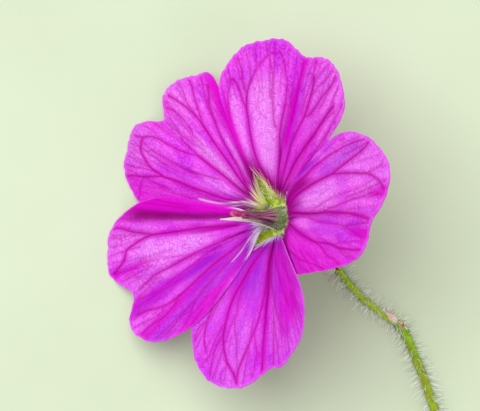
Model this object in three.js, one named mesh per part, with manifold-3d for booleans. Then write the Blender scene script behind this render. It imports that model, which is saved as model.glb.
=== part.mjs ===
// Bloody cranesbill: one cut flower lying on a surface. Millimetres, +Z up, surface at z = 0.
import * as THREE from 'three';
import { mergeVertices } from 'three/addons/utils/BufferGeometryUtils.js';
import Module from 'manifold-3d';

const wasm = await Module();
wasm.setup();

// Where the flower sits: its throat above the surface, and the way that its face leans and turns
const THROAT = new THREE.Vector3(-0.9, 11.65, 7.2);
const LEAN = 38;
const TURN = 5.6;

// Blades: petals, sepals and bracteoles
const BLADE = 0.6;
const GAP = 0.15;

// Petal claws stand upright round the ovary, then the petals spread into a shallow bowl
const CLAW_RADIUS = 1.75;
const CLAW_HALF_WIDTH = 0.55;
const CLAW_HEIGHT = 1.8;
const THROAT_DEPTH = 1.6;
const THROAT_INSET = 1.0;
const THROAT_REACH = 3.0;
const SPREAD_SHARPNESS = 1.6;
const MARGIN_REACH = 3.5;
const CREASE_DEPTH = 0.45;
const CREASE_HALF_ANGLE = 4;
const RIB_HEIGHT = 0.1;
const RIB_ANGLE = 11;
const RIM_SCALLOP = 0.12;
const RIM_SCALLOPS = 5;
const SLANT_ANGLE = 135;
const PETAL_ROWS = 17;
const PETAL_COLUMNS = 26;

// Each petal, seen from the front with its tip up. Reach is how far round a side goes, in degrees,
// shoulder is a side's length at its margin as a share of the petal's, round is how square its corner
// is, flare is how far out it has spread, lift raises its margin over or under its neighbour's, and
// sag is how far its rim hangs towards the surface.
const PETALS = {
  petal_right: {
    azimuth: -11.5, length: 17.5, slant: 5.3, rise: 16, notch: 2.1, notchAt: 13, notchWidth: 7.3,
    left: { reach: 50, shoulder: 0.64, round: 3.2, flare: 3.9, lift: 1.1, sag: 0 },
    right: { reach: 52, shoulder: 0.21, round: 1.4, flare: 4.8, lift: -1.2, sag: 0 },
    sag: 0,
  },
  petal_top: {
    azimuth: 77.5, length: 20.5, slant: -0.4, rise: 12, notch: 1.55, notchAt: -3.6, notchWidth: 6.2,
    left: { reach: 35.5, shoulder: 0.67, round: 1.95, flare: 7.0, lift: 0.95, sag: 0 },
    right: { reach: 27.5, shoulder: 0.71, round: 2.2, flare: 4.2, lift: -1.2, sag: 0 },
    sag: 0,
  },
  petal_left_upper: {
    azimuth: 146.5, length: 19.5, slant: 0.4, rise: 13.5, notch: 2.3, notchAt: -1.7, notchWidth: 4.6,
    left: { reach: 38.5, shoulder: 0.6, round: 2.35, flare: 5.9, lift: -1.25, sag: 0.6 },
    right: { reach: 27.5, shoulder: 0.9, round: 2.3, flare: 4.6, lift: -1.5, sag: 5 },
    sag: 2.8,
  },
  petal_left_lower: {
    azimuth: 211.5, length: 21.1, slant: 0.3, rise: 12, notch: 2.3, notchAt: 1.8, notchWidth: 6.2,
    left: { reach: 34, shoulder: 0.3, round: 2.6, flare: 3.1, lift: 0.9, sag: 0 },
    right: { reach: 36, shoulder: 0.43, round: 2.85, flare: 3.0, lift: 1.0, sag: 1.8 },
    sag: 1.2,
  },
  petal_bottom: {
    azimuth: 289.5, length: 18.7, slant: -2.0, rise: 12, notch: 1.5, notchAt: -4.1, notchWidth: 6.6,
    left: { reach: 25.5, shoulder: 0.46, round: 2.3, flare: 3.9, lift: 1.3, sag: 0 },
    right: { reach: 51, shoulder: 0.57, round: 2.05, flare: 3.3, lift: -0.7, sag: 0 },
    sag: 0,
  },
};

// Sepals lie under the gaps between the petals
const SEPAL_AZIMUTHS = [34, 112, 179, 250, 332];
const SEPAL_LENGTH = 6.8;
const SEPAL_HALF_WIDTH = 1.8;
const SEPAL_BASE_RADIUS = 1.9;
const SEPAL_BASE_HEIGHT = -0.95;
const SEPAL_RISE = 0.36;
const SEPAL_CURL = 0.014;
const SEPAL_CUP = 0.12;
const SEPAL_ROWS = 11;
const SEPAL_COLUMNS = 8;
const AWN_LENGTH = 1.5;
const AWN_HALF_WIDTH = 0.3;
const SEPAL_BASE_SHARE = 0.16;
const SEPAL_FULLNESS = 0.8;

// Receptacle, ovary, style and stamens, all round the flower's axis
const RECEPTACLE_RADIUS = 2.1;
const RECEPTACLE_TOP = -GAP;
const RECEPTACLE_PROFILE = [
  [0, -3.2], [0.45, -3.1], [0.75, -2.4], [1.35, -1.6], [1.5, -0.9], [RECEPTACLE_RADIUS, -0.35],
  [RECEPTACLE_RADIUS, RECEPTACLE_TOP], [0, RECEPTACLE_TOP],
];
const NECTARY_AZIMUTHS = [33, 112, 179, 250, 319];
const NECTARY_RADIUS = 0.34;
const NECTARY_AT = 1.82;
const NECTARY_SIDES = 8;
const OVARY_TOP = 1.9;
const OVARY_LOBE = 0.1;
const LOBED_FROM = 0.4;
const STYLE_RADIUS = 0.3;
const STYLE_TOP = 6.9;
const PISTIL_PROFILE = [
  [0, 0], [0.62, 0], [0.78, 0.5], [0.74, 1.2], [0.45, OVARY_TOP], [STYLE_RADIUS, 2.6],
  [STYLE_RADIUS, STYLE_TOP], [0, STYLE_TOP],
];
const STIGMA_ARMS = 5;
const STIGMA_LENGTH = 2.1;
const STIGMA_WIDTH = 0.34;
const STIGMA_BASE_RADIUS = 0.12;
const STIGMA_SPREAD = 0.14;
const STIGMA_SUNK = 0.4;
const STIGMA_TAPER = 0.45;
const STIGMA_STEPS = 5;
const CUP_PROFILE = [[1.0, 0], [1.32, 0], [1.32, 0.55], [1.1, 0.9], [1.0, 0.9], [1.0, 0]];
const CUP_TURN = 5;
const FILAMENTS = 10;
const FILAMENT_RADIUS = 1.14;
const FILAMENT_TOP_RADIUS = 0.6;
const FILAMENTS_MEET = 0.6;
const FILAMENT_BASE = 0.2;
const FILAMENT_LENGTH = 6.4;
const OUTER_SHORTER = 0.7;
const LENGTH_WANDER = 0.35;
const FILAMENT_WIDTH = 0.5;
const FILAMENT_TIP = 0.34;
const FILAMENT_DEPTH = 0.34;
const FILAMENT_STEPS = 7;

// One filament has come away from the others: which one, and how far its tip hangs out and sideways
const DROOPING = 6;
const DROOP_OUT = 1.05;
const DROOP_ASIDE = -0.95;
const ROUND_SIDES = 20;

// Stem: the pedicel curves down behind the flower and runs along the surface to a joint, and the
// peduncle goes on from there to the cut. Offsets are from the throat, heights from the surface.
const PEDICEL_RADIUS = 0.34;
const PEDUNCLE_RADIUS = 0.47;
const JOINT_RADIUS = 0.66;
const STALK_START = 2.2;
const NECK_DEPTH = 3.6;
const STEM_SIDES = 8;
const PEDICEL_STEPS = 26;
const PEDUNCLE_STEPS = 18;
const PEDICEL_OFFSETS = [
  [3.4, -0.55, 2.9], [4.5, -1.45, 1.1], [5.3, -3.0, 0.44], [6.15, -5.5, PEDICEL_RADIUS],
  [8.7, -8.5, 0.5], [11.0, -10.3, 0.6], [12.4, -11.25, 0.62],
];
const PEDUNCLE_OFFSETS = [
  [12.95, -11.75, 0.66], [14.0, -14.0, 0.7], [14.9, -16.2, 0.75], [16.1, -19.6, 0.8], [17.9, -25.2, 0.75],
  [19.2, -31.5, 0.6], [19.8, -37.5, PEDUNCLE_RADIUS], [19.7, -42.0, PEDUNCLE_RADIUS],
];

const JOINT_SIDES = 12;
const BRACTEOLE_TAPER = 0.75;
const BRACTEOLE_FULLNESS = 1.5;
const BRACTEOLE_ROWS = 5;
const BRACTEOLE_COLUMNS = 2;

// Bracteoles at the joint: where each one starts, which way it points and faces, its length and width
const BRACTEOLES = {
  bracteole_long: {
    from: [12.8, -10.6, 0.8], towards: [-0.8, 0.68, 0.25], facing: [0.65, 0.76, 0], length: 2.1, width: 0.9,
  },
  bracteole_short: {
    from: [13.2, -11.35, 1.5], towards: [0.45, 0.5, 0.7], facing: [-0.5, -0.5, 0.7], length: 1.1, width: 0.75,
  },
};

const COLOURS = {
  petal: 0xd43cd0,
  sepal: 0x9bb02c,
  pistil: 0x9a8a5c,
  stamens: 0xc88ac8,
  pedicel: 0x8ba811,
  peduncle: 0x749419,
  bracteole: 0xd88a84,
};

// Points nearer than this are one point, and a blade's thickness is set square to it over this step
const SAME_POINT = 1e-4;
const SLOPE_STEP = 1e-3;

const degrees = THREE.MathUtils.degToRad;

const flower = new THREE.Group();
flower.position.copy(THROAT);
flower.rotation.set(0, -degrees(LEAN), -degrees(TURN), 'ZYX');
flower.updateMatrix();
const up = new THREE.Vector3(0, 0, 1).applyQuaternion(flower.quaternion.clone().invert());

function material(colour, roughness) {
  return new THREE.MeshStandardMaterial({ color: colour, roughness, metalness: 0 });
}

function named(name, geometry, colour, roughness = 0.6) {
  const mesh = new THREE.Mesh(geometry, material(colour, roughness));
  mesh.name = name;
  return mesh;
}

// A closed solid from a geometry, so that pieces that grew together can be joined
function solid(geometry) {
  const bare = geometry.clone();
  bare.deleteAttribute('normal');
  bare.deleteAttribute('uv');
  const merged = mergeVertices(bare, SAME_POINT);
  const vertProperties = new Float32Array(merged.attributes.position.array);
  const triVerts = new Uint32Array(merged.index.array);
  return new wasm.Manifold(new wasm.Mesh({ numProp: 3, vertProperties, triVerts }));
}

function fused(geometries) {
  const whole = geometries.map(solid).reduce((sum, next) => sum.add(next));
  const mesh = whole.getMesh();
  const geometry = new THREE.BufferGeometry();
  geometry.setAttribute('position', new THREE.BufferAttribute(mesh.vertProperties, 3));
  geometry.setIndex(new THREE.BufferAttribute(mesh.triVerts, 1));
  return geometry;
}

// A blade of even thickness round a middle surface: along runs from 0 to 1, across from -1 to 1
function blade(middle, rows, columns, thickness = BLADE) {
  const front = [];
  const back = [];
  for (let row = 0; row <= rows; row++) {
    for (let column = 0; column <= columns; column++) {
      const along = row / rows;
      const across = (2 * column) / columns - 1;
      const alongLow = Math.max(along - SLOPE_STEP, 0);
      const alongHigh = Math.min(along + SLOPE_STEP, 1);
      const acrossLow = Math.max(across - SLOPE_STEP, -1);
      const acrossHigh = Math.min(across + SLOPE_STEP, 1);
      const lengthwise = middle(alongHigh, across).sub(middle(alongLow, across));
      const crosswise = middle(along, acrossHigh).sub(middle(along, acrossLow));
      const normal = lengthwise.cross(crosswise).setLength(thickness / 2);
      const point = middle(along, across);
      front.push(...point.clone().add(normal).toArray());
      back.push(...point.sub(normal).toArray());
    }
  }
  const width = columns + 1;
  const count = (rows + 1) * width;
  const faces = [];
  for (let row = 0; row < rows; row++) {
    for (let column = 0; column < columns; column++) {
      const a = row * width + column;
      const b = a + 1;
      const c = a + width;
      const d = c + 1;
      faces.push(a, c, b, b, c, d);
      faces.push(a + count, b + count, c + count, b + count, d + count, c + count);
    }
  }
  const rim = [];
  for (let column = 0; column < columns; column++) rim.push(column);
  for (let row = 0; row < rows; row++) rim.push(row * width + columns);
  for (let column = columns; column > 0; column--) rim.push(rows * width + column);
  for (let row = rows; row > 0; row--) rim.push(row * width);
  rim.forEach((a, index) => {
    const b = rim[(index + 1) % rim.length];
    faces.push(a, b, a + count, b, b + count, a + count);
  });
  const geometry = new THREE.BufferGeometry();
  geometry.setAttribute('position', new THREE.BufferAttribute(new Float32Array([...front, ...back]), 3));
  geometry.setIndex(faces);
  return geometry;
}

// What would go below the surface lies flat on it
function restOnSurface(point) {
  const height = THROAT.z + point.dot(up);
  const lack = BLADE / 2 - height;
  if (lack > 0) point.addScaledVector(up, lack);
  return point;
}

// One point of a petal's middle surface
function petalPoint(petal, along, across) {
  const u = Math.sin((across * Math.PI) / 2);
  const side = u > 0 ? petal.left : petal.right;
  const v = Math.abs(u);
  const bearing = u * side.reach;
  const corner = side.shoulder + (1 - side.shoulder) * Math.sqrt(1 - v ** side.round);
  const fromNotch = bearing - petal.notchAt;
  const notch = petal.notch * Math.exp(-((fromNotch / petal.notchWidth) ** 2));
  const scallop = RIM_SCALLOP * Math.cos(RIM_SCALLOPS * across * Math.PI);
  const slanted = petal.length + petal.slant * Math.sin(u * degrees(SLANT_ANGLE));
  const length = slanted * corner - notch + scallop;
  const out = along * length;
  const spread = 1 - Math.exp(-((out / side.flare) ** SPREAD_SHARPNESS));
  const angle = degrees(bearing) * spread;
  const throat = 1 - Math.exp(-out / THROAT_REACH);
  const claw = Math.exp(-((out / CLAW_HEIGHT) ** 2));
  const radius = out * Math.cos(degrees(petal.rise)) - THROAT_INSET * throat + CLAW_RADIUS * claw;
  const margin = 1 - Math.exp(-((out / MARGIN_REACH) ** 2));
  const outer = (out / petal.length) ** 2;
  const crease = CREASE_DEPTH * Math.exp(-((fromNotch / CREASE_HALF_ANGLE) ** 2)) * margin;
  const rib = RIB_HEIGHT * Math.cos((fromNotch * 2 * Math.PI) / RIB_ANGLE) * (1 - v * v) * outer;
  let height = out * Math.sin(degrees(petal.rise)) + THROAT_DEPTH * throat;
  height += side.lift * u * u * margin - crease + rib;
  const point = new THREE.Vector3(
    Math.cos(angle) * radius,
    u * CLAW_HALF_WIDTH + Math.sin(angle) * radius,
    height,
  );
  point.applyAxisAngle(new THREE.Vector3(0, 0, 1), degrees(petal.azimuth));
  const sag = (petal.sag * (1 - v * v) + side.sag * v * v) * outer * (out / petal.length);
  point.addScaledVector(up, -sag);
  return restOnSurface(point);
}

function petals() {
  return Object.entries(PETALS).map(([name, petal]) => {
    const middle = (along, across) => petalPoint(petal, along, across);
    return named(name, blade(middle, PETAL_ROWS, PETAL_COLUMNS), COLOURS.petal, 0.55);
  });
}

// A sepal with its bristle tip, cupped along the middle
function sepalPoint(azimuth, along, across) {
  const whole = SEPAL_LENGTH + AWN_LENGTH;
  const out = along * whole;
  const share = Math.min(out / SEPAL_LENGTH, 1);
  const swell = Math.sin(Math.PI * (SEPAL_BASE_SHARE + (1 - SEPAL_BASE_SHARE) * share));
  const leaf = SEPAL_HALF_WIDTH * swell ** SEPAL_FULLNESS;
  const halfWidth = Math.max(leaf, AWN_HALF_WIDTH);
  const side = across * halfWidth;
  const height = SEPAL_BASE_HEIGHT + SEPAL_RISE * out - SEPAL_CURL * out * out + SEPAL_CUP * side * side;
  const point = new THREE.Vector3(SEPAL_BASE_RADIUS + out, side, height);
  return point.applyAxisAngle(new THREE.Vector3(0, 0, 1), degrees(azimuth));
}

function sepals() {
  return SEPAL_AZIMUTHS.map((azimuth, index) => {
    const middle = (along, across) => sepalPoint(azimuth, along, across);
    return named(`sepal_${index + 1}`, blade(middle, SEPAL_ROWS, SEPAL_COLUMNS), COLOURS.sepal, 0.65);
  });
}

// A tapering bar with a rectangular section that follows a path up from its base
function taperedBar(path, halfWidth, depth, steps) {
  const middle = (along, across) => path(along).add(new THREE.Vector3(0, across * halfWidth(along), 0));
  return blade(middle, steps, 2, depth);
}

// A shape turned round the flower's axis from its radii and heights
function turned(profile) {
  const shape = new THREE.LatheGeometry(profile.map(([r, z]) => new THREE.Vector2(r, z)), ROUND_SIDES);
  return shape.rotateX(Math.PI / 2);
}

// Ten flattened filaments that stand on a short cup round the ovary and close in round the style
function stamens() {
  const cup = turned(CUP_PROFILE);
  cup.rotateZ(degrees(CUP_TURN));
  const pieces = [cup];
  for (let index = 0; index < FILAMENTS; index++) {
    const shorter = index % 2 === 0 ? OUTER_SHORTER : 0;
    const length = FILAMENT_LENGTH - shorter + LENGTH_WANDER * Math.sin(index * index);
    const droop = index === DROOPING ? 1 : 0;
    const path = (along) => {
      const closed = THREE.MathUtils.smoothstep(along, 0, FILAMENTS_MEET);
      const radius = THREE.MathUtils.lerp(FILAMENT_RADIUS, FILAMENT_TOP_RADIUS, closed);
      const hang = droop * along * along;
      return new THREE.Vector3(radius + hang * DROOP_OUT, hang * DROOP_ASIDE, FILAMENT_BASE + along * length);
    };
    const halfWidth = (along) => THREE.MathUtils.lerp(FILAMENT_WIDTH, FILAMENT_TIP, along) / 2;
    const filament = taperedBar(path, halfWidth, FILAMENT_DEPTH, FILAMENT_STEPS);
    filament.rotateZ(degrees(((index + 0.5) * 360) / FILAMENTS));
    pieces.push(filament);
  }
  return named('stamens', fused(pieces), COLOURS.stamens);
}

// Five-lobed ovary, style and the five stigma arms that stand closed at its tip
function pistil() {
  const body = turned(PISTIL_PROFILE);
  const position = body.attributes.position;
  for (let index = 0; index < position.count; index++) {
    const x = position.getX(index);
    const y = position.getY(index);
    if (position.getZ(index) < OVARY_TOP && Math.hypot(x, y) > LOBED_FROM) {
      const swell = 1 + OVARY_LOBE * Math.cos(STIGMA_ARMS * Math.atan2(y, x));
      position.setX(index, x * swell);
      position.setY(index, y * swell);
    }
  }
  const pieces = [body];
  for (let index = 0; index < STIGMA_ARMS; index++) {
    const path = (along) => {
      const radius = STIGMA_BASE_RADIUS + STIGMA_SPREAD * along * along;
      return new THREE.Vector3(radius, 0, STYLE_TOP - STIGMA_SUNK + along * STIGMA_LENGTH);
    };
    const halfWidth = (along) => (STIGMA_WIDTH * (1 - STIGMA_TAPER * along)) / 2;
    const arm = taperedBar(path, halfWidth, STIGMA_WIDTH, STIGMA_STEPS);
    arm.rotateZ(degrees((index * 360) / STIGMA_ARMS));
    pieces.push(arm);
  }
  return named('pistil', fused(pieces), COLOURS.pistil);
}

// Stem points from their offsets to the throat
function onSurface(offsets) {
  return offsets.map(([x, y, height]) => new THREE.Vector3(THROAT.x + x, THROAT.y + y, height));
}

// A round stalk along a smooth curve through its points
function tube(points, radius, steps) {
  const section = new THREE.Shape();
  for (let side = 0; side < STEM_SIDES; side++) {
    const angle = ((side + 0.5) * 2 * Math.PI) / STEM_SIDES;
    const x = radius * Math.cos(angle);
    const y = radius * Math.sin(angle);
    if (side === 0) section.moveTo(x, y);
    else section.lineTo(x, y);
  }
  section.closePath();
  const path = new THREE.CatmullRomCurve3(points, false, 'centripetal');
  return new THREE.ExtrudeGeometry(section, { steps, bevelEnabled: false, extrudePath: path });
}

// Pedicel, with the receptacle that it widens into and the five nectaries on the receptacle
function pedicel() {
  const receptacle = turned(RECEPTACLE_PROFILE);
  receptacle.applyMatrix4(flower.matrix);
  const pieces = [receptacle];
  for (const azimuth of NECTARY_AZIMUTHS) {
    const nectary = new THREE.SphereGeometry(NECTARY_RADIUS, NECTARY_SIDES, NECTARY_SIDES);
    nectary.translate(NECTARY_AT, 0, RECEPTACLE_TOP);
    nectary.rotateZ(degrees(azimuth));
    nectary.applyMatrix4(flower.matrix);
    pieces.push(nectary);
  }
  const start = new THREE.Vector3(0, 0, -STALK_START).applyMatrix4(flower.matrix);
  const neck = new THREE.Vector3(0, 0, -NECK_DEPTH).applyMatrix4(flower.matrix);
  pieces.push(tube([start, neck, ...onSurface(PEDICEL_OFFSETS)], PEDICEL_RADIUS, PEDICEL_STEPS));
  return named('pedicel', fused(pieces), COLOURS.pedicel);
}

// Peduncle with the swollen joint at its top and a flat cut at its end
function peduncle() {
  const points = onSurface(PEDUNCLE_OFFSETS);
  const joint = new THREE.SphereGeometry(JOINT_RADIUS, JOINT_SIDES, JOINT_SIDES);
  joint.translate(points[0].x, points[0].y, points[0].z);
  return named('peduncle', fused([joint, tube(points, PEDUNCLE_RADIUS, PEDUNCLE_STEPS)]), COLOURS.peduncle);
}

function bracteoles() {
  return Object.entries(BRACTEOLES).map(([name, leaf]) => {
    const start = THROAT.clone().setZ(0).add(new THREE.Vector3(...leaf.from));
    const forward = new THREE.Vector3(...leaf.towards).normalize();
    const sideways = new THREE.Vector3(...leaf.facing).cross(forward).normalize();
    const middle = (along, across) => {
      const halfWidth = (leaf.width / 2) * (1 - BRACTEOLE_TAPER * along ** BRACTEOLE_FULLNESS);
      const point = start.clone().addScaledVector(forward, along * leaf.length);
      return point.addScaledVector(sideways, across * halfWidth);
    };
    return named(name, blade(middle, BRACTEOLE_ROWS, BRACTEOLE_COLUMNS), COLOURS.bracteole);
  });
}

flower.add(...petals(), ...sepals(), stamens(), pistil());

const group = new THREE.Group();
group.add(flower, pedicel(), peduncle(), ...bracteoles());

export default group;
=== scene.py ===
# Bloody cranesbill: one cut flower lying on a table top, dressed over its solids
import math
import random

import bmesh
import bpy
import numpy as np
from mathutils import Matrix, Vector


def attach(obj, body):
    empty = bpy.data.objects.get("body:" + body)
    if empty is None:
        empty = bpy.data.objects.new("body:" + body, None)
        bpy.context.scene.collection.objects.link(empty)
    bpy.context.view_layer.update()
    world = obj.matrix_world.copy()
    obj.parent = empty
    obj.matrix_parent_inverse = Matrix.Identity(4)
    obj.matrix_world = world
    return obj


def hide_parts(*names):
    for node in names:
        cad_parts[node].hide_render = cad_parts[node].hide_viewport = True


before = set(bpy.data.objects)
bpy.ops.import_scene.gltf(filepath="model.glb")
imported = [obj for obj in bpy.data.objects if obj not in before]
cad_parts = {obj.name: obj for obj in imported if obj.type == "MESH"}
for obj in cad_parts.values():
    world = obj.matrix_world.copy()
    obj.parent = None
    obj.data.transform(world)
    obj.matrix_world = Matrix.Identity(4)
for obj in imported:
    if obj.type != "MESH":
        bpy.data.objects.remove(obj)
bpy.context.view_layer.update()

# The table top, the light and the camera
#
# The cut flower lies on a plain pale table top under a large soft lamp, a weaker one and a pale room,
# and the camera looks straight down on it. The table top and the lamps are given in metres. The flower
# is given in millimetres, from its throat and from the table top under it, until a piece is finished.

MM = 0.001
THROAT = Vector((-0.9, 11.65, 7.2))
CAMERA_OFFSET = Vector((-4.305, 1.3125, 600))
CAMERA_LENS = 428.57
CAMERA_SENSOR = 36
CAMERA_NEAR = 0.01
CAMERA_FAR = 10
TABLE_SIZE = 4.0
TABLE_COLOUR = (186, 197, 170)
TABLE_LIGHT = (193, 204, 178)
TABLE_ROUGHNESS = 0.85
ROOM_COLOUR = (240, 241, 238)
ROOM_STRENGTH = 0.72
KEY_PLACE = (-0.3, 0.36, 0.8)
KEY_SIZE = 0.9
KEY_WATTS = 9.9
FILL_PLACE = (0.7, -0.6, 0.6)
FILL_SIZE = 0.8
FILL_WATTS = 2.0

# A pattern is how many patches there are to a metre, how finely they are broken up, and the two levels
# that become its lowest and its highest value. These are 0 and 1 where no others follow.
TABLE_MOTTLE = (35.0, 3.0, 0.3, 0.7)

# The places of a mix node's sockets for colours
MIX_SHARE = 0
MIX_FIRST = 6
MIX_SECOND = 7
MIX_RESULT = 2


def colour(red, green, blue):
    """A colour as a screen shows it, 0 to 255, as the light that a shader wants."""
    def light(shown):
        share = shown / 255
        return share / 12.92 if share <= 0.04045 else ((share + 0.055) / 1.055) ** 2.4
    return (light(red), light(green), light(blue), 1.0)


def new_material(name, roughness):
    """A material, with its node tree and its one surface shader."""
    made = bpy.data.materials.new(name)
    made.use_nodes = True
    surface = made.node_tree.nodes["Principled BSDF"]
    surface.inputs["Roughness"].default_value = roughness
    return made, made.node_tree, surface


def feed(tree, socket, value):
    """Gives an input a number or a colour, or links it to the output that feeds it."""
    if isinstance(value, bpy.types.NodeSocket):
        tree.links.new(value, socket)
    else:
        socket.default_value = value


def add_node(tree, kind, inputs, **settings):
    """A node with its settings, and its inputs by their name or place."""
    made = tree.nodes.new(kind)
    for name, value in settings.items():
        setattr(made, name, value)
    for name, value in inputs.items():
        feed(tree, made.inputs[name], value)
    return made


def mixed(tree, share, first, second):
    """The first colour where share is 0, and the second where it is 1."""
    inputs = {MIX_SHARE: share, MIX_FIRST: first, MIX_SECOND: second}
    return add_node(tree, "ShaderNodeMix", inputs, data_type="RGBA").outputs[MIX_RESULT]


def ramp(tree, value, low, high, start=0.0, end=1.0):
    """A number that goes from start to end as value goes from low to high."""
    made = add_node(tree, "ShaderNodeMapRange", {
        "Value": value, "From Min": low, "From Max": high, "To Min": start, "To Max": end})
    return made.outputs["Result"]


def noise(tree, place, fineness, detail):
    """A soft random pattern around a half."""
    made = add_node(tree, "ShaderNodeTexNoise", {"Vector": place, "Scale": fineness, "Detail": detail})
    return made.outputs["Fac"]


def patchy(tree, place, pattern):
    """A soft random pattern, from the values that describe it."""
    fineness, detail, *levels = pattern
    return ramp(tree, noise(tree, place, fineness, detail), *levels)


def object_place(tree):
    """Where a point is on the object, in metres."""
    return add_node(tree, "ShaderNodeTexCoord", {}).outputs["Object"]


def lamp(name, place, size, watts):
    """A square soft lamp that faces the middle of the table top."""
    data = bpy.data.lights.new(name, "AREA")
    data.size = size
    data.energy = watts
    made = bpy.data.objects.new(name, data)
    made.location = place
    made.rotation_mode = "QUATERNION"
    made.rotation_quaternion = Vector(place).to_track_quat("Z", "Y")
    bpy.context.scene.collection.objects.link(made)


lamp("key_lamp", KEY_PLACE, KEY_SIZE, KEY_WATTS)
lamp("fill_lamp", FILL_PLACE, FILL_SIZE, FILL_WATTS)

room = bpy.data.worlds.new("room")
room.use_nodes = True
room.node_tree.nodes["Background"].inputs["Color"].default_value = colour(*ROOM_COLOUR)
room.node_tree.nodes["Background"].inputs["Strength"].default_value = ROOM_STRENGTH
bpy.context.scene.world = room
bpy.context.scene.view_settings.view_transform = "Standard"

camera_data = bpy.data.cameras.new("camera")
camera_data.lens = CAMERA_LENS
camera_data.sensor_width = CAMERA_SENSOR
camera_data.clip_start = CAMERA_NEAR
camera_data.clip_end = CAMERA_FAR
camera = bpy.data.objects.new("camera", camera_data)
camera.location = (THROAT + CAMERA_OFFSET) * MM
bpy.context.scene.collection.objects.link(camera)
bpy.context.scene.camera = camera

table_finish, tree, surface = new_material("table_top", TABLE_ROUGHNESS)
mottle = patchy(tree, object_place(tree), TABLE_MOTTLE)
feed(tree, surface.inputs["Base Color"], mixed(tree, mottle, colour(*TABLE_COLOUR), colour(*TABLE_LIGHT)))
shape = bmesh.new()
bmesh.ops.create_grid(shape, x_segments=1, y_segments=1, size=TABLE_SIZE / 2)
table_mesh = bpy.data.meshes.new("table_top")
shape.to_mesh(table_mesh)
shape.free()
table_mesh.materials.append(table_finish)
table_top = bpy.data.objects.new("table_top", table_mesh)
bpy.context.scene.collection.objects.link(table_top)

# The peduncle
#
# The stalk below the joint is a green stem with low ribs, reddish along them towards the joint, and cut
# square at its lower end. At its top it swells into the joint that the pedicel and the bracteoles grow
# from. Stiff white hairs stand out all round it.

PEDUNCLE_RADIUS = 0.47
JOINT_RADIUS = 0.66
JOINT_REACH = 0.9
JOINT_AT = 0.5
JOINT_TOP_SHARE = 0.5
PEDUNCLE_OFFSETS = [
    (12.31, -11.07, 0.66), (12.95, -11.75, 0.66), (14.0, -14.0, 0.7), (14.9, -16.2, 0.75),
    (16.1, -19.6, 0.8), (17.9, -25.2, 0.75), (19.2, -31.5, 0.6), (19.8, -37.5, 0.47), (19.7, -42.0, 0.47),
]
PEDUNCLE_STEPS = 240
CURVE_STEPS = 40
STEM_SIDES = 30
STEM_RIBS = 6
RIB_SHARE = 0.05
CUT_RIM = 0.12
PEDUNCLE_GREEN = (110, 146, 14)
PEDUNCLE_LIGHT = (146, 182, 36)
PEDUNCLE_RED_ALONG = (0.9, 0.0)
STEM_RED = (150, 100, 44)
STEM_STREAKS = (1500.0, 4.0, 0.35, 0.7)
STEM_PATCHES = (420.0, 3.0, 0.4, 0.6)
STEM_CELLS = (4200.0, 2.0)
STEM_CELL_RELIEF = 0.35
STEM_CELL_DEPTH = 0.05
STEM_ROUGHNESS = 0.42
STEM_GLOSS = 0.15
STEM_LIGHT_INSIDE = 0.25
GREEN_FLESH = (0.6, 0.8, 0.2)
CUT_PITH = (204, 212, 158)
CUT_SPECKLE = (3000.0, 3.0, 0.45, 0.6)
CUT_ROUGHNESS = 0.3

# Hairs: how they are shaped, how they stand on a stem, and how many grow on the peduncle
HAIR_SIDES = 3
HAIR_CUTS = 2
HAIR_TIP_SHARE = 0.4
HAIR_THICKNESS = 0.065
HAIR_OFF_TABLE = 0.01
HAIR_ROOT = (190, 210, 150)
HAIR_TIP = (250, 252, 248)
HAIR_WHITE_FROM = 0.35
HAIR_ROUGHNESS = 0.35
HAIR_SHEEN = 0.3
STEM_HAIR_LENGTH = 1.4
LOWEST_HAIR_LENGTH = 1.0
STEM_HAIR_SHARES = (0.5, 1.15)
STEM_HAIR_ROOT = 0.96
STEM_HAIR_LEAN = 0.15
STEM_HAIR_WANDER = 0.25
STEM_HAIR_BEND = (-0.1, 0.3)
STEM_HAIR_DROOP = 0.08
PEDUNCLE_HAIRS = 760
PEDUNCLE_HAIR_SEED = 3


def in_place(offsets):
    """Points given by their offset from the throat and their height above the table top."""
    return [Vector((THROAT.x + x, THROAT.y + y, height)) for x, y, height in offsets]


def through(points, steps):
    """Evenly spaced points on a smooth curve through the given ones, its direction there, and its length."""
    points = [2 * points[0] - points[1], *points, 2 * points[-1] - points[-2]]
    fine = []
    for a, b, c, d in zip(points, points[1:], points[2:], points[3:]):
        at_b = (b - a).length ** 0.5
        at_c = at_b + (c - b).length ** 0.5
        at_d = at_c + (d - c).length ** 0.5
        for step in range(CURVE_STEPS):
            t = at_b + (at_c - at_b) * step / CURVE_STEPS
            ab = a.lerp(b, t / at_b)
            bc = b.lerp(c, (t - at_b) / (at_c - at_b))
            cd = c.lerp(d, (t - at_c) / (at_d - at_c))
            abc = ab.lerp(bc, t / at_c)
            bcd = bc.lerp(cd, (t - at_b) / (at_d - at_b))
            fine.append(abc.lerp(bcd, (t - at_b) / (at_c - at_b)))
    line = np.array([*fine, points[-2]])
    gone = np.concatenate([[0], np.cumsum(np.linalg.norm(np.diff(line, axis=0), axis=1))])
    even = np.linspace(0, gone[-1], steps + 1)
    line = np.stack([np.interp(even, gone, line[:, axis]) for axis in range(3)], axis=1)
    ways = np.gradient(line, axis=0)
    return [Vector(p) for p in line], [Vector(w).normalized() for w in ways], gone[-1]


def rings(ways):
    """Two directions across the curve at each point, turned as little as possible from one to the next."""
    side = ways[0].orthogonal().normalized()
    found = []
    for before, way in zip([ways[0], *ways], ways):
        side = before.rotation_difference(way) @ side
        side = (side - way * side.dot(way)).normalized()
        found.append((side, way.cross(side)))
    return found


def upright(shape, length):
    """The edges that run the whole length up a new shape."""
    return [e for e in shape.edges if abs(e.verts[0].co.z - e.verts[1].co.z) > length / 2]


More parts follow.
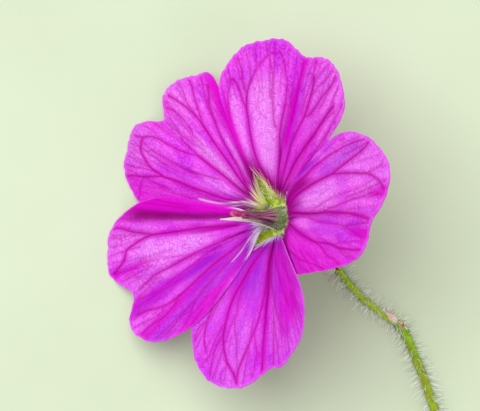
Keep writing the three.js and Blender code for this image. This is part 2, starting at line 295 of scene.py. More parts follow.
def stalk(points, steps, radius_at):
    """A closed ribbed stem along a curve, and for each vertex how far along it is and if it is on a rib."""
    line, ways, whole = through(points, steps)
    across = rings(ways)
    shape = bmesh.new()
    bmesh.ops.create_cone(shape, cap_ends=True, segments=STEM_SIDES, radius1=1, radius2=1, depth=1)
    bmesh.ops.subdivide_edges(shape, edges=upright(shape, 1), cuts=steps - 1, use_grid_fill=True)
    marks = {"along": [], "rib": []}
    for vertex in shape.verts:
        index = round((vertex.co.z + 0.5) * steps)
        side, other = across[index]
        rib = math.cos(STEM_RIBS * math.atan2(vertex.co.y, vertex.co.x))
        reach = radius_at(index / steps * whole) * (1 + RIB_SHARE * rib)
        vertex.co = line[index] + (side * vertex.co.x + other * vertex.co.y) * reach
        vertex.co.z = max(vertex.co.z, 0)
        marks["along"].append(index / steps)
        marks["rib"].append(0.5 + rib / 2)
    return shape, marks


def finished(name, shape, finishes, marks, replaced=(), wall=0.0):
    """Makes a bmesh in millimetres a piece of the flower, with its finish, its wall and its marks."""
    bmesh.ops.scale(shape, vec=(MM, MM, MM), verts=shape.verts[:])
    for face in shape.faces:
        face.smooth = True
    for edge in shape.edges:
        edge.smooth = not edge.is_boundary
    mesh = bpy.data.meshes.new(name)
    shape.to_mesh(mesh)
    shape.free()
    for finish in finishes:
        mesh.materials.append(finish)
    for mark, values in marks.items():
        values = np.asarray(values, np.float32)
        if values.ndim == 1:
            mesh.attributes.new(mark, "FLOAT", "POINT").data.foreach_set("value", values)
        else:
            mesh.attributes.new(mark, "FLOAT_VECTOR", "POINT").data.foreach_set("vector", values.ravel())
    made = bpy.data.objects.new(name, mesh)
    bpy.context.scene.collection.objects.link(made)
    if wall:
        thick = made.modifiers.new("wall", "SOLIDIFY")
        thick.thickness = wall * MM
        thick.offset = 0
    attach(made, "root")
    if replaced:
        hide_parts(*replaced)


def mark_of(tree, name):
    """A number that the mesh carries at each point."""
    return add_node(tree, "ShaderNodeAttribute", {}, attribute_name=name).outputs["Fac"]


def times(tree, first, second):
    """One number by another."""
    return add_node(tree, "ShaderNodeMath", {0: first, 1: second}, operation="MULTIPLY").outputs[0]


def bumpy(tree, surface, height, strength, depth):
    """Relief too fine for the mesh, with its depth in millimetres."""
    relief = add_node(tree, "ShaderNodeBump", {
        "Height": height, "Strength": strength, "Distance": depth * MM})
    feed(tree, surface.inputs["Normal"], relief.outputs["Normal"])


def lit_inside(surface, share, depths):
    """Lets light into soft flesh, as deep in millimetres as is given for red, green and blue."""
    surface.inputs["Subsurface Weight"].default_value = share
    surface.inputs["Subsurface Radius"].default_value = depths
    surface.inputs["Subsurface Scale"].default_value = MM


def stem_material(name, green, light, red_along):
    """Stem skin: green with light streaks, reddish on the ribs from one place along it to another."""
    finish, tree, surface = new_material(name, STEM_ROUGHNESS)
    place = object_place(tree)
    skin = mixed(tree, patchy(tree, place, STEM_STREAKS), colour(*green), colour(*light))
    blush = times(tree, times(tree, patchy(tree, place, STEM_PATCHES), mark_of(tree, "rib")),
                  ramp(tree, mark_of(tree, "along"), *red_along))
    feed(tree, surface.inputs["Base Color"], mixed(tree, blush, skin, colour(*STEM_RED)))
    bumpy(tree, surface, noise(tree, place, *STEM_CELLS), STEM_CELL_RELIEF, STEM_CELL_DEPTH)
    surface.inputs["Specular IOR Level"].default_value = STEM_GLOSS
    lit_inside(surface, STEM_LIGHT_INSIDE, GREEN_FLESH)
    return finish


def cut_material():
    """A fresh cut: wet pale pith with specks of green bundles in it."""
    finish, tree, surface = new_material("cut_pith", CUT_ROUGHNESS)
    speckle = patchy(tree, object_place(tree), CUT_SPECKLE)
    feed(tree, surface.inputs["Base Color"], mixed(tree, speckle, colour(*CUT_PITH), colour(*PEDUNCLE_LIGHT)))
    return finish


def strand():
    """One hair, a unit long and upright: a thin tapering bristle in three lengths."""
    shape = bmesh.new()
    bmesh.ops.create_cone(shape, cap_ends=True, segments=HAIR_SIDES, radius1=0.5,
                          radius2=0.5 * HAIR_TIP_SHARE, depth=1, matrix=Matrix.Translation((0, 0, 0.5)))
    bmesh.ops.subdivide_edges(shape, edges=upright(shape, 1), cuts=HAIR_CUTS, use_grid_fill=True)
    mesh = bpy.data.meshes.new("strand")
    shape.to_mesh(mesh)
    shape.free()
    return mesh


def hair_material():
    """A clear white bristle, a little green at its root."""
    finish, tree, surface = new_material("white_hair", HAIR_ROUGHNESS)
    whiter = ramp(tree, mark_of(tree, "tip"), 0.0, HAIR_WHITE_FROM)
    feed(tree, surface.inputs["Base Color"], mixed(tree, whiter, colour(*HAIR_ROOT), colour(*HAIR_TIP)))
    surface.inputs["Sheen Weight"].default_value = HAIR_SHEEN
    return finish


hair_strand = strand()
hair_finish = hair_material()


def hairs(name, grown, thickness=HAIR_THICKNESS):
    """Hairs as one piece. Each has a root, a direction, a length, and how its tip bends away."""
    shape = bmesh.new()
    tips = []
    for root, way, length, bend in grown:
        first = len(shape.verts)
        shape.from_mesh(hair_strand)
        shape.verts.ensure_lookup_table()
        turn = Vector((0, 0, 1)).rotation_difference(way)
        for vertex in shape.verts[first:]:
            share = vertex.co.z
            section = turn @ Vector((vertex.co.x, vertex.co.y, 0)) * thickness
            point = root + way * (length * share) + bend * (share * share) + section
            # A hair that would sink into the table top lies on it instead, half as thick
            point.z = max(point.z, HAIR_OFF_TABLE + thickness / 2 * (vertex.co.y + 0.5))
            vertex.co = point
            tips.append(share)
    finished(name, shape, [hair_finish], {"tip": tips})


def stem_hairs(points, radius, count, chance, last_length=STEM_HAIR_LENGTH):
    """Hairs all round a stem, square to it or leaning a little, no two alike."""
    line, ways, _ = through(points, count)
    across = rings(ways)
    grown = []
    for share, centre, way, (side, other) in zip(np.linspace(0, 1, len(line)), line, ways, across):
        angle = chance.uniform(0, 2 * math.pi)
        outward = side * math.cos(angle) + other * math.sin(angle)
        lean = way * chance.gauss(STEM_HAIR_LEAN, STEM_HAIR_WANDER)
        lean += outward.cross(way) * chance.gauss(0, STEM_HAIR_WANDER)
        full_length = STEM_HAIR_LENGTH + (last_length - STEM_HAIR_LENGTH) * share
        length = full_length * chance.uniform(*STEM_HAIR_SHARES)
        bend = (way * chance.uniform(*STEM_HAIR_BEND) - Vector((0, 0, STEM_HAIR_DROOP))) * length
        root = centre + outward * radius * STEM_HAIR_ROOT
        grown.append((root, (outward + lean).normalized(), length, bend))
    return grown


def peduncle_radius(gone):
    """The stalk swells into the joint near its top, and the joint closes in on the pedicel."""
    swelling = math.exp(-((gone - JOINT_AT) / JOINT_REACH) ** 2)
    shoulder = max(0, 1 - gone / JOINT_AT)
    closed = math.sqrt(1 - (1 - JOINT_TOP_SHARE ** 2) * shoulder ** 2)
    return (PEDUNCLE_RADIUS + (JOINT_RADIUS - PEDUNCLE_RADIUS) * swelling) * closed


peduncle_points = in_place(PEDUNCLE_OFFSETS)
shape, marks = stalk(peduncle_points, PEDUNCLE_STEPS, peduncle_radius)
ends = [f for f in shape.faces if len(f.verts) == STEM_SIDES]
cut = min(ends, key=lambda face: face.calc_center_median().y)
bmesh.ops.recalc_face_normals(shape, faces=shape.faces[:])
bmesh.ops.inset_region(shape, faces=[cut], thickness=CUT_RIM, use_even_offset=True)
cut.material_index = 1
marks = {name: values + [0.0] * (len(shape.verts) - len(values)) for name, values in marks.items()}
peduncle_finish = stem_material("peduncle_skin", PEDUNCLE_GREEN, PEDUNCLE_LIGHT, PEDUNCLE_RED_ALONG)
finished("lower_stalk", shape, [peduncle_finish, cut_material()], marks, ["peduncle"])
chance = random.Random(PEDUNCLE_HAIR_SEED)
grown = stem_hairs(peduncle_points, PEDUNCLE_RADIUS, PEDUNCLE_HAIRS, chance, LOWEST_HAIR_LENGTH)
hairs("lower_stalk_hairs", grown)

# The bracteoles
#
# Two thin papery scales grow from the joint: a longer pink one that lies along the pedicel and a short
# red one that stands up. Each is a pointed leaf, cupped along its middle, with a fringe of hairs.

BRACTEOLE_WALL = 0.14
BRACTEOLE_COLUMNS = 12
BRACTEOLE_ROWS = 24
BRACTEOLE_CUP = 0.16
BRACTEOLE_CUP_FROM = 0.2
BRACTEOLE_BASE = 0.7
BRACTEOLE_SWELL = 0.5
BRACTEOLE_TAPER = 2.2
BRACTEOLE_TIP = 0.02
BRACTEOLES = {
    "long_bracteole": {
        "stands_for": "bracteole_long", "start": (12.4, -11.0, 0.95), "towards": (-0.78, 0.64, 0.15),
        "facing": (0.45, 0.52, 0.73), "length": 1.75, "width": 0.66, "base": (230, 206, 184),
        "tip": (232, 164, 176), "seed": 5,
    },
    "short_bracteole": {
        "stands_for": "bracteole_short", "start": (12.9, -11.65, 1.2), "towards": (0.2, 0.5, 0.8),
        "facing": (-0.5, -0.5, 0.7), "length": 0.9, "width": 0.46, "base": (206, 150, 96),
        "tip": (204, 62, 48), "seed": 6,
    },
}
BRACTEOLE_LINES = (2600.0, 3.0, 0.3, 0.7, -0.2, 0.2)
BRACTEOLE_TINTED = (0.1, 0.8)
BRACTEOLE_ROUGHNESS = 0.55
BRACTEOLE_SHEEN = 0.2
BRACTEOLE_HAIRS = 26
BRACTEOLE_HAIR_CENTRE = 0.4
BRACTEOLE_HAIR_TILT = 0.5
BRACTEOLE_HAIR_LENGTHS = (0.3, 0.6)
STRAIGHT = Vector((0, 0, 0))


def plus(tree, first, second):
    """Two numbers together."""
    return add_node(tree, "ShaderNodeMath", {0: first, 1: second}, operation="ADD").outputs[0]


def bracteole_material(name, base, tip):
    """Papery scale: pale at its base, pink or red towards its tip, with fine lines along it."""
    finish, tree, surface = new_material(name, BRACTEOLE_ROUGHNESS)
    lines = patchy(tree, object_place(tree), BRACTEOLE_LINES)
    share = ramp(tree, plus(tree, mark_of(tree, "along"), lines), *BRACTEOLE_TINTED)
    feed(tree, surface.inputs["Base Color"], mixed(tree, share, colour(*base), colour(*tip)))
    surface.inputs["Sheen Weight"].default_value = BRACTEOLE_SHEEN
    return finish


for name, leaf in BRACTEOLES.items():
    start = Vector((THROAT.x, THROAT.y, 0)) + Vector(leaf["start"])
    forward = Vector(leaf["towards"]).normalized()
    sideways = Vector(leaf["facing"]).cross(forward).normalized()
    outward = forward.cross(sideways)
    shape = bmesh.new()
    bmesh.ops.create_grid(shape, x_segments=BRACTEOLE_COLUMNS, y_segments=BRACTEOLE_ROWS, size=1)
    along = []
    for vertex in shape.verts:
        across, share = vertex.co.x, (vertex.co.y + 1) / 2
        narrowed = max(1 - share ** BRACTEOLE_TAPER, BRACTEOLE_TIP)
        swell = BRACTEOLE_BASE + BRACTEOLE_SWELL * math.sin(math.pi * share)
        half_width = leaf["width"] / 2 * narrowed * swell
        cupped = math.sin(math.pi * (BRACTEOLE_CUP_FROM + (1 - BRACTEOLE_CUP_FROM) * share))
        point = start + forward * share * leaf["length"] + sideways * across * half_width
        vertex.co = point - outward * BRACTEOLE_CUP * (1 - across * across) * cupped
        along.append(share)
    chance = random.Random(leaf["seed"])
    grown = []
    for root in chance.sample([v for v in shape.verts if v.is_boundary], BRACTEOLE_HAIRS):
        away = (root.co - start - forward * leaf["length"] * BRACTEOLE_HAIR_CENTRE).normalized()
        away += outward * chance.uniform(-BRACTEOLE_HAIR_TILT, BRACTEOLE_HAIR_TILT)
        grown.append((root.co.copy(), away.normalized(), chance.uniform(*BRACTEOLE_HAIR_LENGTHS), STRAIGHT))
    finish = bracteole_material(name, leaf["base"], leaf["tip"])
    finished(name, shape, [finish], {"along": along}, [leaf["stands_for"]], BRACTEOLE_WALL)
    hairs(name + "_hairs", grown)

# The pedicel and the receptacle
#
# The flower's own stalk is thinner and yellower than the peduncle, with the same white hairs. It leaves
# the joint, runs along the table top, turns up behind the flower and widens into the receptacle, where
# five green nectaries sit between the claws.

PEDICEL_RADIUS = 0.34
PEDICEL_OFFSETS = [
    (3.4, -0.55, 2.9), (4.5, -1.45, 1.1), (5.3, -3.0, 0.44), (6.15, -5.5, 0.34),
    (8.7, -8.5, 0.5), (11.0, -10.3, 0.6), (12.4, -11.25, 0.62), (12.85, -11.62, 0.64),
]
LEAN = math.radians(38)
TURN = math.radians(5.6)
STALK_START = 2.6
NECK_DEPTH = 3.6
PEDICEL_STEPS = 130
PEDICEL_HAIRS = 560
PEDICEL_HAIR_SEED = 4
PEDICEL_GREEN = (142, 174, 10)
PEDICEL_LIGHT = (172, 202, 32)
PEDICEL_RED_ALONG = (0.72, 1.0)
RECEPTACLE_PROFILE = [
    (0.0, -3.35), (0.3, -3.3), (0.36, -3.0), (0.5, -2.6), (0.82, -2.15), (1.2, -1.7), (1.42, -1.3),
    (1.54, -0.85), (1.85, -0.5), (2.05, -0.33), (2.06, -0.2), (1.9, -0.15), (0.0, -0.15),
]
RECEPTACLE_STEPS = 48
RECEPTACLE_GREEN = (184, 216, 60)
RECEPTACLE_LIGHT = (212, 230, 106)
NECTARY_AZIMUTHS = [33, 112, 179, 250, 319]
NECTARY_RADIUS = 0.32
NECTARY_AT = 1.82
NECTARY_HEIGHT = -0.12
NECTARY_COLUMNS = 20
NECTARY_ROWS = 12
SAME_POINT = 0.0001

flower = Matrix.Translation(THROAT) @ Matrix.Rotation(-TURN, 4, "Z") @ Matrix.Rotation(-LEAN, 4, "Y")

pedicel_points = [flower @ Vector((0, 0, -depth)) for depth in (STALK_START, NECK_DEPTH)]
pedicel_points += in_place(PEDICEL_OFFSETS)
shape, marks = stalk(pedicel_points, PEDICEL_STEPS, lambda gone: PEDICEL_RADIUS)
bmesh.ops.recalc_face_normals(shape, faces=shape.faces[:])
pedicel_finish = stem_material("pedicel_skin", PEDICEL_GREEN, PEDICEL_LIGHT, PEDICEL_RED_ALONG)
finished("flower_stalk", shape, [pedicel_finish], marks, ["pedicel"])
chance = random.Random(PEDICEL_HAIR_SEED)
hairs("flower_stalk_hairs", stem_hairs(pedicel_points, PEDICEL_RADIUS, PEDICEL_HAIRS, chance))

shape = bmesh.new()
profile = [shape.verts.new((radius, 0, height)) for radius, height in RECEPTACLE_PROFILE]
for lower, upper in zip(profile, profile[1:]):
    shape.edges.new((lower, upper))
bmesh.ops.spin(shape, geom=shape.verts[:] + shape.edges[:], axis=(0, 0, 1), cent=(0, 0, 0),
               angle=2 * math.pi, steps=RECEPTACLE_STEPS, use_merge=True)
bmesh.ops.remove_doubles(shape, verts=shape.verts[:], dist=SAME_POINT)
bmesh.ops.recalc_face_normals(shape, faces=shape.faces[:])
for azimuth in NECTARY_AZIMUTHS:
    place = Matrix.Translation((NECTARY_AT, 0, NECTARY_HEIGHT))
    place = Matrix.Rotation(math.radians(azimuth), 4, "Z") @ place
    bmesh.ops.create_uvsphere(shape, u_segments=NECTARY_COLUMNS, v_segments=NECTARY_ROWS,
                              radius=NECTARY_RADIUS, matrix=place)
bmesh.ops.transform(shape, matrix=flower, verts=shape.verts[:])
marks = {name: [0.0] * len(shape.verts) for name in ("along", "rib")}
receptacle_finish = stem_material("receptacle_skin", RECEPTACLE_GREEN, RECEPTACLE_LIGHT, PEDICEL_RED_ALONG)
finished("receptacle", shape, [receptacle_finish], marks)

# The sepals
#
# Five green leaves lie under the gaps between the petals. Each is cupped, has five ribs, thin pale
# edges and a reddish bristle at its tip, and is hairy on its back and along its edges.

SEPAL_AZIMUTHS = [34, 118, 179, 244, 332]
SEPAL_LENGTH = 6.8
SEPAL_HALF_WIDTH = 1.8
SEPAL_BASE_RADIUS = 1.9
SEPAL_BASE_HEIGHT = -0.95
SEPAL_BASE_SHARE = 0.26
SEPAL_FULLNESS = 0.8
SEPAL_RISE = 0.36
SEPAL_CURL = 0.014
SEPAL_CUP = 0.12
SEPAL_WALL = 0.22
SEPAL_RIBS = 5
SEPAL_RIB_HEIGHT = 0.05
SEPAL_RIB_FULL_WIDTH = 1
AWN_LENGTH = 1.5
AWN_HALF_WIDTH = 0.14
AWN_TAPER = 0.75
SEPAL_COLUMNS = 40
SEPAL_ROWS = 90
SEPAL_GREEN = (148, 176, 10)
SEPAL_LIGHT = (178, 204, 40)
# Painted light: the bright lime laid over the sepal's base
SEPAL_LIT_LIME = (204, 248, 2)
SEPAL_EDGE = (206, 206, 140)
SEPAL_RED = (160, 74, 62)
SEPAL_FLECKS = (900.0, 3.0, 0.35, 0.65)
SEPAL_ROUGHNESS = 0.5
SEPAL_GLOSS = 0.1
SEPAL_LIGHT_INSIDE = 0.3

# What lies over a sepal's green: the mark that it follows, between which levels of it, and its colour.
# The lime at the base is painted light, brighter than the sepal's green, where it lies in the petals' shade.
SEPAL_LAYERS = [
    ("along", (0.45, 0.75, 1, 0), SEPAL_LIT_LIME), ("rib", (0.6, 1.0, 0.0, 0.45), SEPAL_EDGE),
    ("edge", (0.78, 0.98), SEPAL_EDGE), ("along", (0.74, 0.9), SEPAL_RED),
]
SEPAL_HAIRS = 120
SEPAL_HAIR_SEED = 10
SEPAL_HAIR_THICKNESS = 0.05
SEPAL_HAIR_LENGTHS = (0.5, 0.95)
SEPAL_HAIRS_ALONG = (0.35, 0.95)
SEPAL_HAIRS_BACK = (0.3, 1.0)
SEPAL_HAIRS_AHEAD = 0.3
STEP_ALONG = 0.02
STEP_ACROSS = 0.05


def sepal_point(azimuth, across, share):
    """A point on the middle of a sepal, and whether it is on a rib."""
    out = share * (SEPAL_LENGTH + AWN_LENGTH)
    leaf_share = min(out / SEPAL_LENGTH, 1)
    swell = math.sin(math.pi * (SEPAL_BASE_SHARE + (1 - SEPAL_BASE_SHARE) * leaf_share))
    awn = AWN_HALF_WIDTH * (1 - AWN_TAPER * max(0, out - SEPAL_LENGTH) / AWN_LENGTH)
    half_width = max(SEPAL_HALF_WIDTH * max(swell, 0) ** SEPAL_FULLNESS, awn)
    side = across * half_width
    rib = math.cos((SEPAL_RIBS - 1) * math.pi * across)
    height = SEPAL_BASE_HEIGHT + SEPAL_RISE * out - SEPAL_CURL * out * out + SEPAL_CUP * side * side
    height -= SEPAL_RIB_HEIGHT * rib * min(half_width, SEPAL_RIB_FULL_WIDTH)
    point = Vector((SEPAL_BASE_RADIUS + out, side, height))
    return flower @ (Matrix.Rotation(math.radians(azimuth), 4, "Z") @ point), 0.5 + rib / 2


def sepal_material():
    """Sepal: yellow-green with paler ribs, thin cream edges and a reddish tip."""
    finish, tree, surface = new_material("sepal_leaf", SEPAL_ROUGHNESS)
    flecks = patchy(tree, object_place(tree), SEPAL_FLECKS)
    leaf = mixed(tree, flecks, colour(*SEPAL_GREEN), colour(*SEPAL_LIGHT))
    for mark, levels, tint in SEPAL_LAYERS:
        leaf = mixed(tree, ramp(tree, mark_of(tree, mark), *levels), leaf, colour(*tint))
    feed(tree, surface.inputs["Base Color"], leaf)
    surface.inputs["Specular IOR Level"].default_value = SEPAL_GLOSS
    lit_inside(surface, SEPAL_LIGHT_INSIDE, GREEN_FLESH)
    return finish


sepal_finish = sepal_material()
for number, azimuth in enumerate(SEPAL_AZIMUTHS, 1):
    shape = bmesh.new()
    bmesh.ops.create_grid(shape, x_segments=SEPAL_COLUMNS, y_segments=SEPAL_ROWS, size=1)
    marks = {"rib": [], "edge": [], "along": []}
    for vertex in shape.verts:
        across, share = vertex.co.x, (vertex.co.y + 1) / 2
        vertex.co, rib = sepal_point(azimuth, across, share)
        marks["rib"].append(rib)
        marks["edge"].append(abs(across))
        marks["along"].append(share)
    finished(f"sepal_leaf_{number}", shape, [sepal_finish], marks, [f"sepal_{number}"], SEPAL_WALL)
    chance = random.Random(SEPAL_HAIR_SEED + number)
    grown = []
    for _ in range(SEPAL_HAIRS):
        share = chance.uniform(*SEPAL_HAIRS_ALONG)
        across = chance.choice([-1, 1, chance.uniform(-1, 1)])
        root, _ = sepal_point(azimuth, across, share)
        ahead = sepal_point(azimuth, across, share + STEP_ALONG)[0] - root
        beside = sepal_point(azimuth, across + STEP_ACROSS, share)[0] - root
        back = ahead.cross(beside).normalized()
        away = beside.normalized() * across + back * chance.uniform(*SEPAL_HAIRS_BACK)
        away += ahead.normalized() * SEPAL_HAIRS_AHEAD
        grown.append((root, away.normalized(), chance.uniform(*SEPAL_HAIR_LENGTHS), STRAIGHT))
    hairs(f"sepal_hairs_{number}", grown, SEPAL_HAIR_THICKNESS)

# The petals
#
# Five thin magenta blades stand on narrow upright claws round the ovary and spread into a shallow bowl,
# each margin over or under its neighbour's. Veins fan out of each claw and fork towards a finely
# scalloped rim with one shallow notch. The two left petals rest on the table top by their rims.

PETAL_WALL = 0.16
CLAW_RADIUS = 1.75
CLAW_HALF_WIDTH = 0.4
CLAW_HEIGHT = 1.8
CLAW_ROOT = 0.25
THROAT_DEPTH = 1.6
THROAT_INSET = 1.0
THROAT_REACH = 3.0
SPREAD_SHARPNESS = 3
MARGIN_REACH = 3.5
CREASE_DEPTH = 0.45
CREASE_HALF_ANGLE = 4
RIB_HEIGHT = 0.1
RIB_ANGLE = 11
RIM_SCALLOP = 0.12
RIM_SCALLOPS = 5
CRENATIONS = [(69, 0.035), (41, 0.035), (113, 0.02)]
SLANT_ANGLE = 135
RIPPLE_HEIGHT = 0.07
PETAL_COLUMNS = 300
PETAL_ROWS = 130
